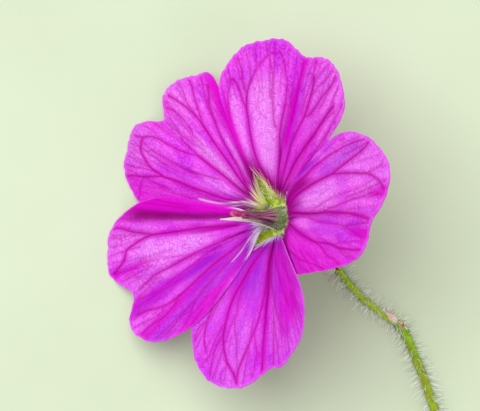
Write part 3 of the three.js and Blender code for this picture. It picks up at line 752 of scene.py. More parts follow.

# What is drawn on a petal is placed along and across it. Along, 0 is the claw and 1 the rim. Across, 1 is
# the margin on the counter-clockwise side seen from the front, and -1 the other.
# Left and right are a side's reach in degrees, its length as a share of the petal's, how square its
# corner is, how far out it has spread, how far it is lifted, and how far it sags.
# Veins and streaks are their strength and their points. Streaks are white lines near the claws, painted
# highlights where folded margins catch the light.
# Zones and folds are where they lie across at the claw and at the rim, their half width, their start and
# end along, and their strength, or a fold's height in millimetres.
# Claw is its length at the middle and at the left and right edges. Tint is the claw's colour, shade how
# dark the painted shade of the throat is just past the claw, and seed what its waves and its short random
# veins start from.
PETALS = {
    "right_petal": {
        "stands_for": "petal_right", "azimuth": -11.5, "length": 17.5, "slant": 5.3, "rise": 16,
        "notch": 2.1, "notch_at": 13, "notch_width": 7.3,
        "left": (50, 0.64, 3.2, 3.3, 1.0, 0), "right": (50.5, 0.34, 1.0, 2.9, -0.9, 0), "sag": 0,
        "veins": [
            (0.8, [(0.8, 0.16), (0.88, 0.3), (0.91, 0.42), (0.915, 0.6), (0.885, 0.75), (0.855, 0.87),
                (0.81, 0.97)]),
            (1, [(0.62, 0.12), (0.7, 0.2), (0.755, 0.32), (0.755, 0.42), (0.74, 0.52), (0.72, 0.61)]),
            (0.9, [(0.72, 0.61), (0.735, 0.7), (0.745, 0.8), (0.75, 0.88), (0.77, 0.97)]),
            (0.9, [(0.72, 0.61), (0.67, 0.69), (0.62, 0.78), (0.575, 0.86), (0.52, 0.92), (0.46, 0.97)]),
            (0.5, [(0.6, 0.81), (0.6, 0.9), (0.62, 0.97)]),
            (0.45, [(0.355, 0.39), (0.42, 0.43), (0.48, 0.52), (0.505, 0.64), (0.51, 0.76), (0.54, 0.89)]),
            (1, [(0.5, 0.14), (0.44, 0.2), (0.385, 0.27), (0.355, 0.35), (0.345, 0.45), (0.35, 0.55),
                (0.335, 0.65), (0.325, 0.75), (0.305, 0.85), (0.28, 0.97)]),
            (0.6, [(0.355, 0.5), (0.4, 0.6), (0.43, 0.7), (0.44, 0.8), (0.455, 0.88), (0.43, 0.97)]),
            (0.55, [(0.345, 0.38), (0.27, 0.4), (0.225, 0.48), (0.21, 0.58), (0.215, 0.7),
                (0.19, 0.82), (0.13, 0.95)]),
            (1, [(0.08, 0.17), (0.02, 0.23), (-0.03, 0.3), (-0.06, 0.38), (-0.07, 0.5), (-0.06, 0.6)]),
            (0.95, [(-0.06, 0.6), (-0.02, 0.65), (0, 0.71), (0, 0.8), (0.03, 0.9), (0.05, 0.97)]),
            (0.5, [(0, 0.71), (0.06, 0.8), (0.1, 0.9), (0.11, 0.97)]),
            (0.7, [(-0.07, 0.6), (-0.08, 0.68), (-0.12, 0.78), (-0.12, 0.88), (-0.14, 0.97)]),
            (0.45, [(0, 0.78), (-0.04, 0.88), (-0.03, 0.97)]),
            (0.8, [(-0.1, 0.19), (-0.25, 0.27), (-0.42, 0.37), (-0.53, 0.45), (-0.58, 0.53),
                (-0.58, 0.6), (-0.5, 0.67), (-0.45, 0.75), (-0.38, 0.82), (-0.3, 0.9), (-0.27, 0.97)]),
            (0.7, [(-0.58, 0.6), (-0.63, 0.7), (-0.64, 0.8), (-0.68, 0.9), (-0.7, 0.97)]),
            (0.5, [(-0.45, 0.75), (-0.5, 0.85), (-0.48, 0.95)]),
            (0.5, [(-0.35, 0.25), (-0.6, 0.4), (-0.75, 0.5), (-0.82, 0.65), (-0.85, 0.8), (-0.9, 0.95)]),
        ],
        "deep": [
            (-0.35, -0.5, 0.5, 0.2, 1.1, 0.7), (0.45, 0.45, 0.04, 0.84, 1.1, 0.8),
            (0.17, 0.17, 0.045, 0.8, 1.1, 0.9), (0.85, 0.92, 0.1, 0.15, 0.5, 0.6),
        ],
        "pale": [
            (0.55, 0.55, 0.2, 0.28, 0.6, 0.7), (0.15, 0.15, 0.12, 0.25, 0.45, 0.5),
            (0.6, 0.65, 0.3, 0.65, 1.1, 0.4),
        ],
        "folds": [
            (0.45, 0.45, 0.05, 0.75, 1.1, -0.3), (0.17, 0.17, 0.05, 0.7, 1.1, -0.35),
            (0.31, 0.31, 0.06, 0.7, 1.1, 0.2), (-0.4, -0.45, 0.2, 0.3, 1.0, 0.35),
        ],
        "dark": [
            (0.82, 0.98, 0.11, 0.1, 0.46, 1), (0.55, 0.75, 0.14, 0.1, 0.28, 0.8),
            (0.1, 0.1, 0.25, 0.12, 0.2, 0.5),
        ],
        "violet": [
            (0.75, 0.8, 0.06, 0.55, 0.95, 0.4), (0.2, 0.15, 0.12, 0.45, 0.95, 0.3),
            (0.99, 1.0, 0.04, 0.48, 0.72, 1.0),
        ],
        "streaks": [],
        "claw": (2.5, 2.8, 2.8), "tint": "cream", "shade": 0.8, "seed": 21,
    },
    "top_petal": {
        "stands_for": "petal_top", "azimuth": 77.5, "length": 20.5, "slant": -0.4, "rise": 12,
        "notch": 1.55, "notch_at": -3.6, "notch_width": 6.2,
        "left": (35.5, 0.67, 1.95, 4.7, 0.8, 0), "right": (27.5, 0.71, 2.2, 3.6, -1.0, 0), "sag": 0,
        "veins": [
            (1, [(0.35, 0.17), (0.55, 0.24), (0.66, 0.32), (0.695, 0.42), (0.695, 0.52), (0.675, 0.62),
                (0.655, 0.7), (0.6, 0.76), (0.52, 0.81)]),
            (0.7, [(0.52, 0.81), (0.42, 0.87), (0.3, 0.915), (0.2, 0.925)]),
            (0.8, [(0.665, 0.66), (0.7, 0.74), (0.72, 0.82), (0.755, 0.88), (0.79, 0.905),
                (0.84, 0.88), (0.9, 0.85), (0.95, 0.78)]),
            (0.6, [(0.79, 0.905), (0.8, 0.97)]),
            (0.7, [(0.62, 0.745), (0.645, 0.82), (0.64, 0.9), (0.66, 0.97)]),
            (0.5, [(0.53, 0.81), (0.53, 0.88), (0.55, 0.97)]),
            (0.5, [(0.45, 0.86), (0.44, 0.92), (0.45, 0.98)]),
            (0.5, [(0.3, 0.915), (0.32, 0.98)]),
            (0.9, [(0, 0.2), (0.02, 0.3), (0.035, 0.4), (0.065, 0.5), (0.055, 0.58), (0.03, 0.68)]),
            (0.7, [(0.03, 0.68), (0.035, 0.78), (0.08, 0.85), (0.12, 0.91), (0.17, 0.93)]),
            (0.6, [(0.08, 0.52), (0.17, 0.54), (0.21, 0.62), (0.24, 0.7), (0.23, 0.8), (0.27, 0.88),
                (0.27, 0.92)]),
            (0.3, [(0.33, 0.58), (0.45, 0.62), (0.46, 0.7), (0.42, 0.78)]),
            (0.9, [(-0.1, 0.19), (-0.2, 0.3), (-0.26, 0.42), (-0.29, 0.5), (-0.36, 0.58), (-0.42, 0.65)]),
            (1, [(-0.42, 0.65), (-0.42, 0.75), (-0.41, 0.83), (-0.38, 0.88)]),
            (0.6, [(-0.38, 0.88), (-0.34, 0.93), (-0.33, 0.98)]),
            (0.5, [(-0.38, 0.88), (-0.3, 0.91), (-0.22, 0.9)]),
            (0.8, [(-0.42, 0.655), (-0.5, 0.67), (-0.56, 0.74), (-0.6, 0.82), (-0.65, 0.9),
                (-0.66, 0.97)]),
            (0.6, [(-0.41, 0.76), (-0.49, 0.84), (-0.56, 0.9), (-0.58, 0.96)]),
            (0.6, [(-0.41, 0.85), (-0.47, 0.92), (-0.52, 0.98)]),
            (1, [(-0.38, 0.2), (-0.48, 0.3), (-0.56, 0.4), (-0.64, 0.5), (-0.71, 0.6), (-0.745, 0.7),
                (-0.78, 0.8), (-0.81, 0.88)]),
            (0.6, [(-0.77, 0.78), (-0.76, 0.88), (-0.75, 0.97)]),
            (0.5, [(-0.735, 0.67), (-0.8, 0.77), (-0.86, 0.87)]),
            (0.6, [(-0.7, 0.25), (-0.8, 0.35), (-0.87, 0.5), (-0.9, 0.62), (-0.93, 0.8)]),
        ],
        "deep": [
            (0.02, -0.17, 0.05, 0.45, 1.1, 0.9), (-0.15, -0.12, 0.12, 0.25, 0.8, 0.5),
            (-0.85, -0.85, 0.12, 0.15, 0.5, 0.7), (0.5, 0.5, 0.5, 0.17, 0.28, 0.5),
            (-0.5, -0.5, 0.4, 0.2, 0.75, 0.3), (1.0, 1.0, 0.09, 0.35, 0.92, 1.0),
        ],
        "pale": [
            (0.33, 0.38, 0.28, 0.25, 0.8, 0.95), (0.85, 0.85, 0.1, 0.42, 0.85, 0.7),
            (-0.6, -0.65, 0.3, 0.6, 1.1, 0.35),
        ],
        "folds": [(0.04, -0.15, 0.06, 0.3, 1.1, -0.2), (0.2, 0.05, 0.12, 0.3, 1.1, 0.25)],
        "dark": [(0.75, 0.9, 0.1, 0.2, 0.4, 0.5), (-0.93, -0.95, 0.09, 0.12, 0.5, 0.9)],
        "violet": [(-0.25, -0.22, 0.1, 0.3, 0.85, 0.25)],
        "streaks": [],
        "claw": (2.9, 4.8, 2.6), "tint": "cream", "shade": 0.9, "seed": 22,
    },
    "left_upper_petal": {
        "stands_for": "petal_left_upper", "azimuth": 146.5, "length": 19.5, "slant": 0.4, "rise": 13.5,
        "notch": 2.3, "notch_at": -1.7, "notch_width": 4.6,
        "left": (38.5, 0.6, 2.35, 4.9, -1.1, 0.6), "right": (27.5, 0.9, 2.3, 5.4, -1.35, 5), "sag": 2.8,
        "veins": [
            (1, [(0.48, 0.25), (0.485, 0.35), (0.475, 0.45), (0.48, 0.55), (0.475, 0.65), (0.485, 0.745)]),
            (0.9, [(0.485, 0.745), (0.53, 0.82), (0.56, 0.88), (0.58, 0.94), (0.6, 0.98)]),
            (1, [(0.48, 0.745), (0.45, 0.82), (0.4, 0.87), (0.33, 0.91), (0.28, 0.92), (0.2, 0.92)]),
            (0.6, [(0.47, 0.8), (0.48, 0.88), (0.5, 0.93), (0.5, 0.98)]),
            (0.6, [(0.56, 0.87), (0.63, 0.9), (0.7, 0.93), (0.74, 0.95)]),
            (0.5, [(0.41, 0.87), (0.41, 0.92), (0.38, 0.98)]),
            (0.5, [(0.3, 0.92), (0.31, 0.98)]),
            (0.6, [(0.1, 0.42), (0.17, 0.48), (0.24, 0.56), (0.27, 0.65), (0.27, 0.75), (0.265, 0.85),
                (0.24, 0.92)]),
            (0.95, [(0, 0.24), (0, 0.35), (0, 0.45), (0.01, 0.55), (0.01, 0.66)]),
            (0.8, [(0.02, 0.66), (0.07, 0.68), (0.11, 0.74), (0.13, 0.82), (0.15, 0.88), (0.2, 0.92),
                (0.23, 0.97)]),
            (0.6, [(0.01, 0.66), (-0.01, 0.75), (-0.02, 0.81), (-0.08, 0.86), (-0.14, 0.93),
                (-0.2, 0.96)]),
            (0.5, [(0.13, 0.84), (0.1, 0.92), (0.12, 0.98)]),
            (1, [(-0.32, 0.24), (-0.37, 0.34), (-0.41, 0.43), (-0.43, 0.53), (-0.46, 0.62),
                (-0.49, 0.72)]),
            (0.9, [(-0.49, 0.72), (-0.48, 0.79), (-0.45, 0.86), (-0.41, 0.91), (-0.37, 0.97)]),
            (0.8, [(-0.5, 0.72), (-0.57, 0.79), (-0.62, 0.86), (-0.68, 0.93), (-0.7, 0.98)]),
            (0.6, [(-0.49, 0.77), (-0.5, 0.86), (-0.55, 0.93), (-0.57, 0.98)]),
            (0.6, [(-0.27, 0.75), (-0.3, 0.82), (-0.28, 0.9), (-0.22, 0.97)]),
            (0.85, [(-0.5, 0.3), (-0.56, 0.42), (-0.59, 0.52), (-0.64, 0.62), (-0.7, 0.7),
                (-0.74, 0.78), (-0.82, 0.86), (-0.88, 0.92)]),
            (0.6, [(-0.64, 0.62), (-0.72, 0.8), (-0.8, 0.9), (-0.84, 0.97)]),
            (0.8, [(-0.85, 0.32), (-0.92, 0.4), (-0.95, 0.5), (-0.94, 0.6), (-0.955, 0.7), (-0.95, 0.8)]),
        ],
        "deep": [
            (-0.7, -0.99, 0.11, 0.25, 1.0, 1.0), (-0.4, -0.45, 0.06, 0.2, 0.35, 0.6),
            (0.33, 0.33, 0.06, 0.55, 0.75, 0.4), (0.03, 0.03, 0.06, 0.85, 1.1, 0.5),
            (-0.27, -0.27, 0.06, 0.8, 1.1, 0.5), (0.75, 0.75, 0.2, 0.3, 1.1, 0.6),
        ],
        "pale": [
            (-0.15, -0.2, 0.14, 0.25, 0.7, 0.9), (0.2, 0.2, 0.14, 0.25, 0.5, 0.5),
            (-0.64, -0.72, 0.05, 0.3, 0.6, 0.7), (-0.35, -0.4, 0.3, 0.75, 1.1, 0.4),
            (0.25, 0.3, 0.3, 0.8, 1.1, 0.35),
        ],
        "folds": [(0.03, 0.03, 0.05, 0.75, 1.1, -0.25), (0.33, 0.33, 0.1, 0.45, 0.85, -0.2)],
        "dark": [(-0.7, -0.99, 0.1, 0.2, 0.5, 0.5), (0.75, 0.75, 0.2, 0.1, 0.3, 0.3)],
        "violet": [(0.4, 0.4, 0.06, 0.5, 0.8, 0.3)],
        "streaks": [
            (0.8, [(0.26, 0.16), (0.42, 0.22), (0.56, 0.3), (0.62, 0.4), (0.63, 0.52)]),
            (0.6, [(0.4, 0.16), (0.6, 0.24), (0.7, 0.33), (0.72, 0.45)]),
        ],
        "claw": (3.2, 3.2, 5.2), "tint": "cream", "shade": 0.6, "seed": 23,
    },
    "left_lower_petal": {
        "stands_for": "petal_left_lower", "azimuth": 211.5, "length": 21.1, "slant": 0.3, "rise": 12,
        "notch": 2.3, "notch_at": 1.8, "notch_width": 6.2,
        "left": (34, 0.3, 2.6, 3.4, 0.2, 0), "right": (36, 0.43, 2.85, 2.8, 0.8, 1.8), "sag": 1.2,
        "veins": [
            (0.9, [(0.33, 0.22), (0.365, 0.3), (0.36, 0.4), (0.375, 0.5), (0.395, 0.6), (0.41, 0.68)]),
            (0.7, [(0.41, 0.68), (0.46, 0.75), (0.48, 0.82), (0.46, 0.9), (0.46, 0.98)]),
            (0.85, [(0.41, 0.68), (0.395, 0.76), (0.35, 0.82), (0.3, 0.88), (0.27, 0.95)]),
            (0.5, [(0.4, 0.78), (0.42, 0.85), (0.38, 0.92), (0.36, 0.98)]),
            (0.8, [(-0.02, 0.2), (-0.05, 0.3), (-0.05, 0.4), (-0.06, 0.5), (-0.05, 0.6), (-0.035, 0.7),
                (-0.03, 0.8), (0, 0.88), (0.03, 0.95)]),
            (0.5, [(-0.035, 0.8), (0.03, 0.85), (0.08, 0.92), (0.1, 0.97)]),
            (0.4, [(-0.06, 0.55), (-0.13, 0.63), (-0.17, 0.72), (-0.19, 0.82), (-0.17, 0.92)]),
            (0.35, [(-0.03, 0.8), (-0.08, 0.88), (-0.1, 0.97)]),
            (1, [(-0.35, 0.24), (-0.42, 0.35), (-0.465, 0.45), (-0.47, 0.55), (-0.48, 0.65),
                (-0.485, 0.735)]),
            (1, [(-0.485, 0.735), (-0.45, 0.8), (-0.41, 0.85), (-0.37, 0.885), (-0.3, 0.895),
                (-0.24, 0.93), (-0.2, 0.97)]),
            (0.9, [(-0.49, 0.735), (-0.52, 0.79), (-0.55, 0.86), (-0.59, 0.93), (-0.6, 0.98)]),
            (0.5, [(-0.545, 0.84), (-0.5, 0.92), (-0.52, 0.98)]),
            (0.6, [(0.55, 0.2), (0.58, 0.35), (0.58, 0.45), (0.6, 0.55), (0.62, 0.66), (0.63, 0.76),
                (0.65, 0.85), (0.66, 0.95)]),
            (0.5, [(0.62, 0.66), (0.68, 0.74), (0.73, 0.82), (0.75, 0.9)]),
            (0.6, [(0, 0.4), (0.04, 0.5), (0.08, 0.58), (0.12, 0.66), (0.15, 0.76)]),
        ],
        "deep": [
            (-0.82, -0.86, 0.2, 0.2, 1.1, 1.0), (0.2, 0.18, 0.09, 0.4, 1.1, 0.75),
            (0.45, 0.5, 0.07, 0.35, 1.1, 0.7), (0.78, 0.86, 0.12, 0.2, 1.1, 0.8),
            (-0.34, -0.17, 0.03, 0.72, 1.1, 0.7), (-0.35, -0.42, 0.07, 0.18, 0.45, 0.7),
        ],
        "pale": [
            (-0.25, -0.25, 0.16, 0.38, 0.8, 0.8), (-0.1, 0.0, 0.1, 0.7, 1.0, 0.4),
            (-0.4, -0.45, 0.2, 0.7, 1.1, 0.4), (0.4, 0.4, 0.07, 0.7, 1.1, 0.2),
        ],
        "folds": [
            (-0.68, -0.7, 0.06, 0.3, 1.1, -0.2), (-0.88, -0.88, 0.13, 0.25, 1.1, 0.25),
            (0.2, 0.17, 0.1, 0.35, 1.1, -0.35), (0.02, 0.02, 0.14, 0.4, 1.1, 0.2),
            (-0.33, -0.17, 0.04, 0.7, 1.1, -0.2),
        ],
        "dark": [(-0.4, -0.45, 0.06, 0.15, 0.5, 0.6), (-0.62, -0.74, 0.07, 0.15, 0.95, 0.85)],
        "violet": [
            (0.55, 0.5, 0.38, 0.12, 0.6, 0.5), (0.2, 0.2, 0.09, 0.4, 1.0, 0.4),
            (0.6, 0.62, 0.1, 0.55, 1.1, 0.45), (0.3, 0.3, 0.8, 0.2, 1.2, 0.08),
        ],
        "streaks": [
            (0.45, [(0.35, 0.15), (0.5, 0.22), (0.6, 0.29), (0.64, 0.38)]),
            (0.4, [(0.75, 0.16), (0.88, 0.24), (0.93, 0.34), (0.95, 0.48)]),
            (0.9, [(-0.88, 0.14), (-0.965, 0.2), (-0.985, 0.3), (-0.99, 0.4)]),
        ],
        "claw": (2.8, 4.4, 2.8), "tint": "lilac", "shade": 0.5, "seed": 24,
    },
    "bottom_petal": {
        "stands_for": "petal_bottom", "azimuth": 289.5, "length": 18.7, "slant": -2.0, "rise": 12,
        "notch": 1.5, "notch_at": -4.1, "notch_width": 6.6,
        "left": (25.2, 0.46, 2.3, 3.1, 1.0, 0), "right": (51, 0.57, 2.05, 3.6, -0.15, 0), "sag": 0,
        "veins": [
            (1, [(-0.14, 0.17), (-0.14, 0.3), (-0.13, 0.45), (-0.14, 0.6), (-0.145, 0.72),
                (-0.15, 0.85), (-0.145, 0.97)]),
            (0.9, [(-0.17, 0.15), (-0.18, 0.28), (-0.17, 0.42), (-0.19, 0.55), (-0.22, 0.65),
                (-0.27, 0.73), (-0.31, 0.82), (-0.34, 0.9), (-0.33, 0.98)]),
            (0.6, [(-0.25, 0.7), (-0.23, 0.75), (-0.2, 0.85), (-0.22, 0.97)]),
            (0.6, [(-0.08, 0.2), (-0.1, 0.3), (-0.1, 0.42), (-0.07, 0.5), (-0.01, 0.585), (0.04, 0.66),
                (0.09, 0.71)]),
            (1, [(-0.45, 0.17), (-0.56, 0.3), (-0.61, 0.4), (-0.65, 0.5), (-0.65, 0.58), (-0.62, 0.67),
                (-0.58, 0.75), (-0.51, 0.82), (-0.44, 0.88), (-0.37, 0.93), (-0.34, 0.97)]),
            (0.7, [(-0.59, 0.73), (-0.61, 0.82), (-0.6, 0.9), (-0.57, 0.97)]),
            (0.6, [(-0.62, 0.68), (-0.65, 0.78), (-0.64, 0.88), (-0.67, 0.97)]),
            (0.5, [(-0.45, 0.87), (-0.48, 0.93), (-0.46, 0.98)]),
            (0.5, [(-0.6, 0.42), (-0.53, 0.58), (-0.5, 0.66), (-0.43, 0.74), (-0.38, 0.84), (-0.36, 0.9)]),
            (0.9, [(-0.75, 0.2), (-0.84, 0.32), (-0.87, 0.45), (-0.865, 0.55), (-0.87, 0.65),
                (-0.85, 0.75), (-0.82, 0.82), (-0.76, 0.87), (-0.68, 0.9)]),
            (0.6, [(-0.82, 0.82), (-0.86, 0.9), (-0.84, 0.97)]),
            (0.6, [(0, 0.18), (0.1, 0.3), (0.17, 0.38), (0.25, 0.47), (0.3, 0.54), (0.35, 0.62),
                (0.42, 0.72)]),
            (0.5, [(0.3, 0.26), (0.42, 0.36), (0.55, 0.47), (0.66, 0.6), (0.72, 0.7)]),
            (0.4, [(0.09, 0.71), (0.2, 0.8), (0.3, 0.9)]),
        ],
        "deep": [
            (0.5, 0.5, 0.5, 0.12, 0.85, 0.85), (-0.13, -0.14, 0.02, 0.2, 1.1, 0.5),
            (-0.62, -0.7, 0.25, 0.2, 0.6, 0.5),
        ],
        "pale": [
            (-0.4, -0.4, 0.14, 0.6, 1.05, 0.3), (-0.02, 0.02, 0.08, 0.6, 0.9, 0.4),
            (0.35, 0.35, 0.2, 0.75, 1.1, 0.2), (-0.85, -0.85, 0.12, 0.55, 1.0, 0.2),
        ],
        "folds": [(-0.11, -0.13, 0.04, 0.2, 1.1, -0.25), (-0.45, -0.4, 0.2, 0.3, 1.1, 0.2)],
        "dark": [(-0.13, -0.14, 0.05, 0.1, 0.5, 0.5)],
        "violet": [
            (-0.5, -0.45, 0.35, 0.1, 0.5, 0.45), (0.1, 0.2, 0.2, 0.1, 0.6, 0.2),
            (0.0, 0.0, 1.5, 0.1, 1.2, 0.2),
        ],
        "streaks": [
            (0.4, [(-0.5, 0.14), (-0.78, 0.2), (-0.86, 0.29), (-0.9, 0.38)]),
            (0.5, [(-0.7, 0.14), (-0.92, 0.2), (-0.97, 0.3), (-0.98, 0.42)]),
        ],
        "claw": (2.6, 3.0, 3.6), "tint": "lilac", "shade": 0.7, "seed": 25,
    },
}
PETAL_PINK = (220, 10, 230)
PETAL_LIGHT = (238, 88, 244)
PETAL_PURPLE = (198, 4, 228)
PETAL_PALE = (240, 150, 248)
PETAL_SHADED_MAGENTA = (222, 0, 206)
PETAL_VEIN = (172, 0, 140)
PETAL_HALO = (206, 0, 190)
PETAL_BLUE_TINT_AND_SHEEN = (144, 24, 206)
PETAL_SHADE = (128, 0, 84)
PETAL_VIOLET_SHADE = (118, 20, 156)
PETAL_RIM = (232, 100, 236)
PETAL_WHITE = (250, 232, 250)
CLAW_GREEN = (186, 206, 60)
CLAW_CREAM = (216, 216, 104)
CLAW_OLIVE = (132, 138, 48)
CLAW_LILAC = (206, 190, 222)

# Patterns on a petal start with how many times they are squeezed across and along it
PETAL_FIBRES = (4.0, 0.35, 1.2, 4.0, 0.35, 0.65)
PETAL_CLOUDS = (1.0, 0.6, 0.45, 3.0, 0.35, 0.65)
PETAL_GRAIN = (6.0, 4.5, 1.2, 2.0, 0.42, 0.62)
PETAL_POOLS = (1.3, 0.5, 0.8, 3.0, 0.45, 0.65, 0, 0.75)
PETAL_GLINTS = (3.0, 6.0, 1.4, 1.0, 0.6, 0.68, 0, 0.7)
CLOUD_SHARE = 0.2
PALE_SHARES = (0.55, 0.95)
GRAIN_SHARES = (0.25, 0.6)
SHADED_MAGENTA_SHARE = 0.97

# The skin's cells roughen it and stand up a little
CELLS_SQUEEZED = (9.0, 6.0)
PETAL_CELLS = (3.0, 2.0)
CELL_ROUGHNESS = (0.3, 0.7, 0.38, 0.6)
CELL_RELIEF = 0.5
CELL_DEPTH = 0.04

# The nets of finest veins: their scales and strengths, how they are squeezed, and how wide they fade
PETAL_NETS = [(1.2, 0.85), (2.6, 0.55)]
NET_SQUEEZED = (1.3, 0.7)
NET_FADE = 0.06

# What lies over a petal's colour: the mark that it follows, how strong it is, and its colour. The dark
# mark is painted shade near the claws and under overlapping margins, the violet mark partly the petal's
# violet tint and partly a painted blue sheen along a margin.
PETAL_LAYERS = [
    ("violet", 0.9, PETAL_BLUE_TINT_AND_SHEEN), ("dark", 0.9, PETAL_SHADE), ("halo", 0.8, PETAL_HALO),
    ("vein", 0.95, PETAL_VEIN),
]
RIM_SHARE = 0.6
HIGHLIGHT_STREAK_SHARE = 0.85

# The claw's colour ends in a frayed edge. How far a point is past the claw goes from -4 at the petal's
# foot to 0 where the claw ends, and on past it, and the claw's and the painted shade's levels are on that
# scale.
CLAW_FADE = 4.0
CLAW_FRAY = (5.0, 0.2, 1.5, 2.0, 0.3, 0.7, -1.5, 1.5)
CLAW_EDGE = 0.7
CLAW_TINTED = (-2.6, -0.6)
CLAW_GRAIN_SHARE = 0.4
SHADE_REACH = 3.6
PETAL_ROUGHNESS = 0.5
PETAL_GLOSS = 0.04
PETAL_GLOW = 0.3

# Drawn veins thin towards the rim, and weak ones are narrower, but never less than a share of a strong one
VEIN_STEPS = 4
VEIN_WIDTH = 0.125
HALO_WIDTH = 0.5
STREAK_WIDTH = 0.13
VEIN_LEAST = 0.4
VEIN_TAPER = 0.4
VEIN_RELIEF = 0.035

# Short veins at the rim: how many, how far to the margins, and how each wanders, slants, starts and ends
RIM_VEINS = 24
RIM_VEINS_REACH = 0.93
RIM_VEIN_WANDER = 0.3
RIM_VEIN_SLANT = 0.07
RIM_VEIN_STARTS = (0.6, 0.82)
RIM_VEIN_BEND = (0.4, 0.92)
RIM_VEIN_END = 0.975
RIM_VEIN_STRENGTHS = (0.25, 0.55)

# Where the pale rim starts along and across, how zones fade in and out, and how the blade ripples
RIM_FROM = (0.985, 0.997)
ZONE_STARTS = (-0.06, 0.1)
ZONE_ENDS = (-0.08, 0.08)
ZONE_SHARPNESS = 3
RIPPLE_ACROSS = (0.9, 0.4)
RIPPLE_ALONG = 0.75

# Patterns count one across for this many degrees, and one along for each millimetre
GROWTH_DEGREES = 5

CLAW_HAIRS = 36
CLAW_HAIR_THICKNESS = 0.035
CLAW_HAIR_LENGTHS = (0.5, 0.9)
CLAW_HAIRS_ALONG = (0.16, 0.32)
CLAW_HAIRS_INSIDE = 0.9
CLAW_HAIRS_AHEAD = (0.4, 1.4)
CLAW_HAIRS_WANDER = 0.3
CLAW_HAIRS_UP = 0.2


def smooth(value, low, high):
    """0 below low, 1 above high, and a smooth step between."""
    share = np.clip((value - low) / (high - low), 0, 1)
    return share * share * (3 - 2 * share)


def zone(across, along, where):
    """How much of a zone is at each point: 1 at its middle, and 0 outside it."""
    at_claw, at_rim, half_width, start, end, strength = where
    middle = at_claw + (at_rim - at_claw) * along
    started = smooth(along, start + ZONE_STARTS[0], start + ZONE_STARTS[1])
    ended = smooth(along, end + ZONE_ENDS[0], end + ZONE_ENDS[1])
    within = np.exp(-np.abs((across - middle) / half_width) ** ZONE_SHARPNESS)
    return strength * within * started * (1 - ended)


def curve(points):
    """A smooth line through the points of a vein or a streak."""
    points = np.array([points[0], *points, points[-1]])
    share = np.linspace(0, 1, VEIN_STEPS, endpoint=False)[:, None]
    found = []
    for a, b, c, d in zip(points, points[1:], points[2:], points[3:]):
        bent = 2 * a - 5 * b + 4 * c - d + share * (3 * (b - c) + d - a)
        found.append(b + share * (c - a + share * bent) / 2)
    return np.concatenate([*found, points[-1:]])


def drawn_lines(lines, across, along, per_across, per_along, width):
    """How much of the lines is at each point. One across and one along are so many millimetres there."""
    found = np.zeros_like(across)
    for strength, points in lines:
        line = curve(points)
        for start, end in zip(line, line[1:]):
            run, rise = (end[0] - start[0]) * per_across, (end[1] - start[1]) * per_along
            aside, ahead = (across - start[0]) * per_across, (along - start[1]) * per_along
            share = np.clip((aside * run + ahead * rise) / (run * run + rise * rise), 0, 1)
            away = np.hypot(aside - share * run, ahead - share * rise)
            reach = width * (VEIN_LEAST + (1 - VEIN_LEAST) * strength) * (1 - VEIN_TAPER * along)
            np.maximum(found, strength * np.exp(-(away / reach) ** 2), out=found)
    return found


def rim_veins(chance):
    """Short fine veins, side by side all along a petal's rim, between the ones drawn for that petal."""
    found = []
    for index in range(RIM_VEINS):
        aside = 2 * (index + chance.uniform(-RIM_VEIN_WANDER, RIM_VEIN_WANDER)) / (RIM_VEINS - 1) - 1
        end = RIM_VEINS_REACH * aside
        start = end + chance.uniform(-RIM_VEIN_SLANT, RIM_VEIN_SLANT)
        low = chance.uniform(*RIM_VEIN_STARTS)
        bend = (start + RIM_VEIN_BEND[0] * (end - start), (low + RIM_VEIN_BEND[1]) / 2)
        found.append((chance.uniform(*RIM_VEIN_STRENGTHS), [(start, low), bend, (end, RIM_VEIN_END)]))
    return found


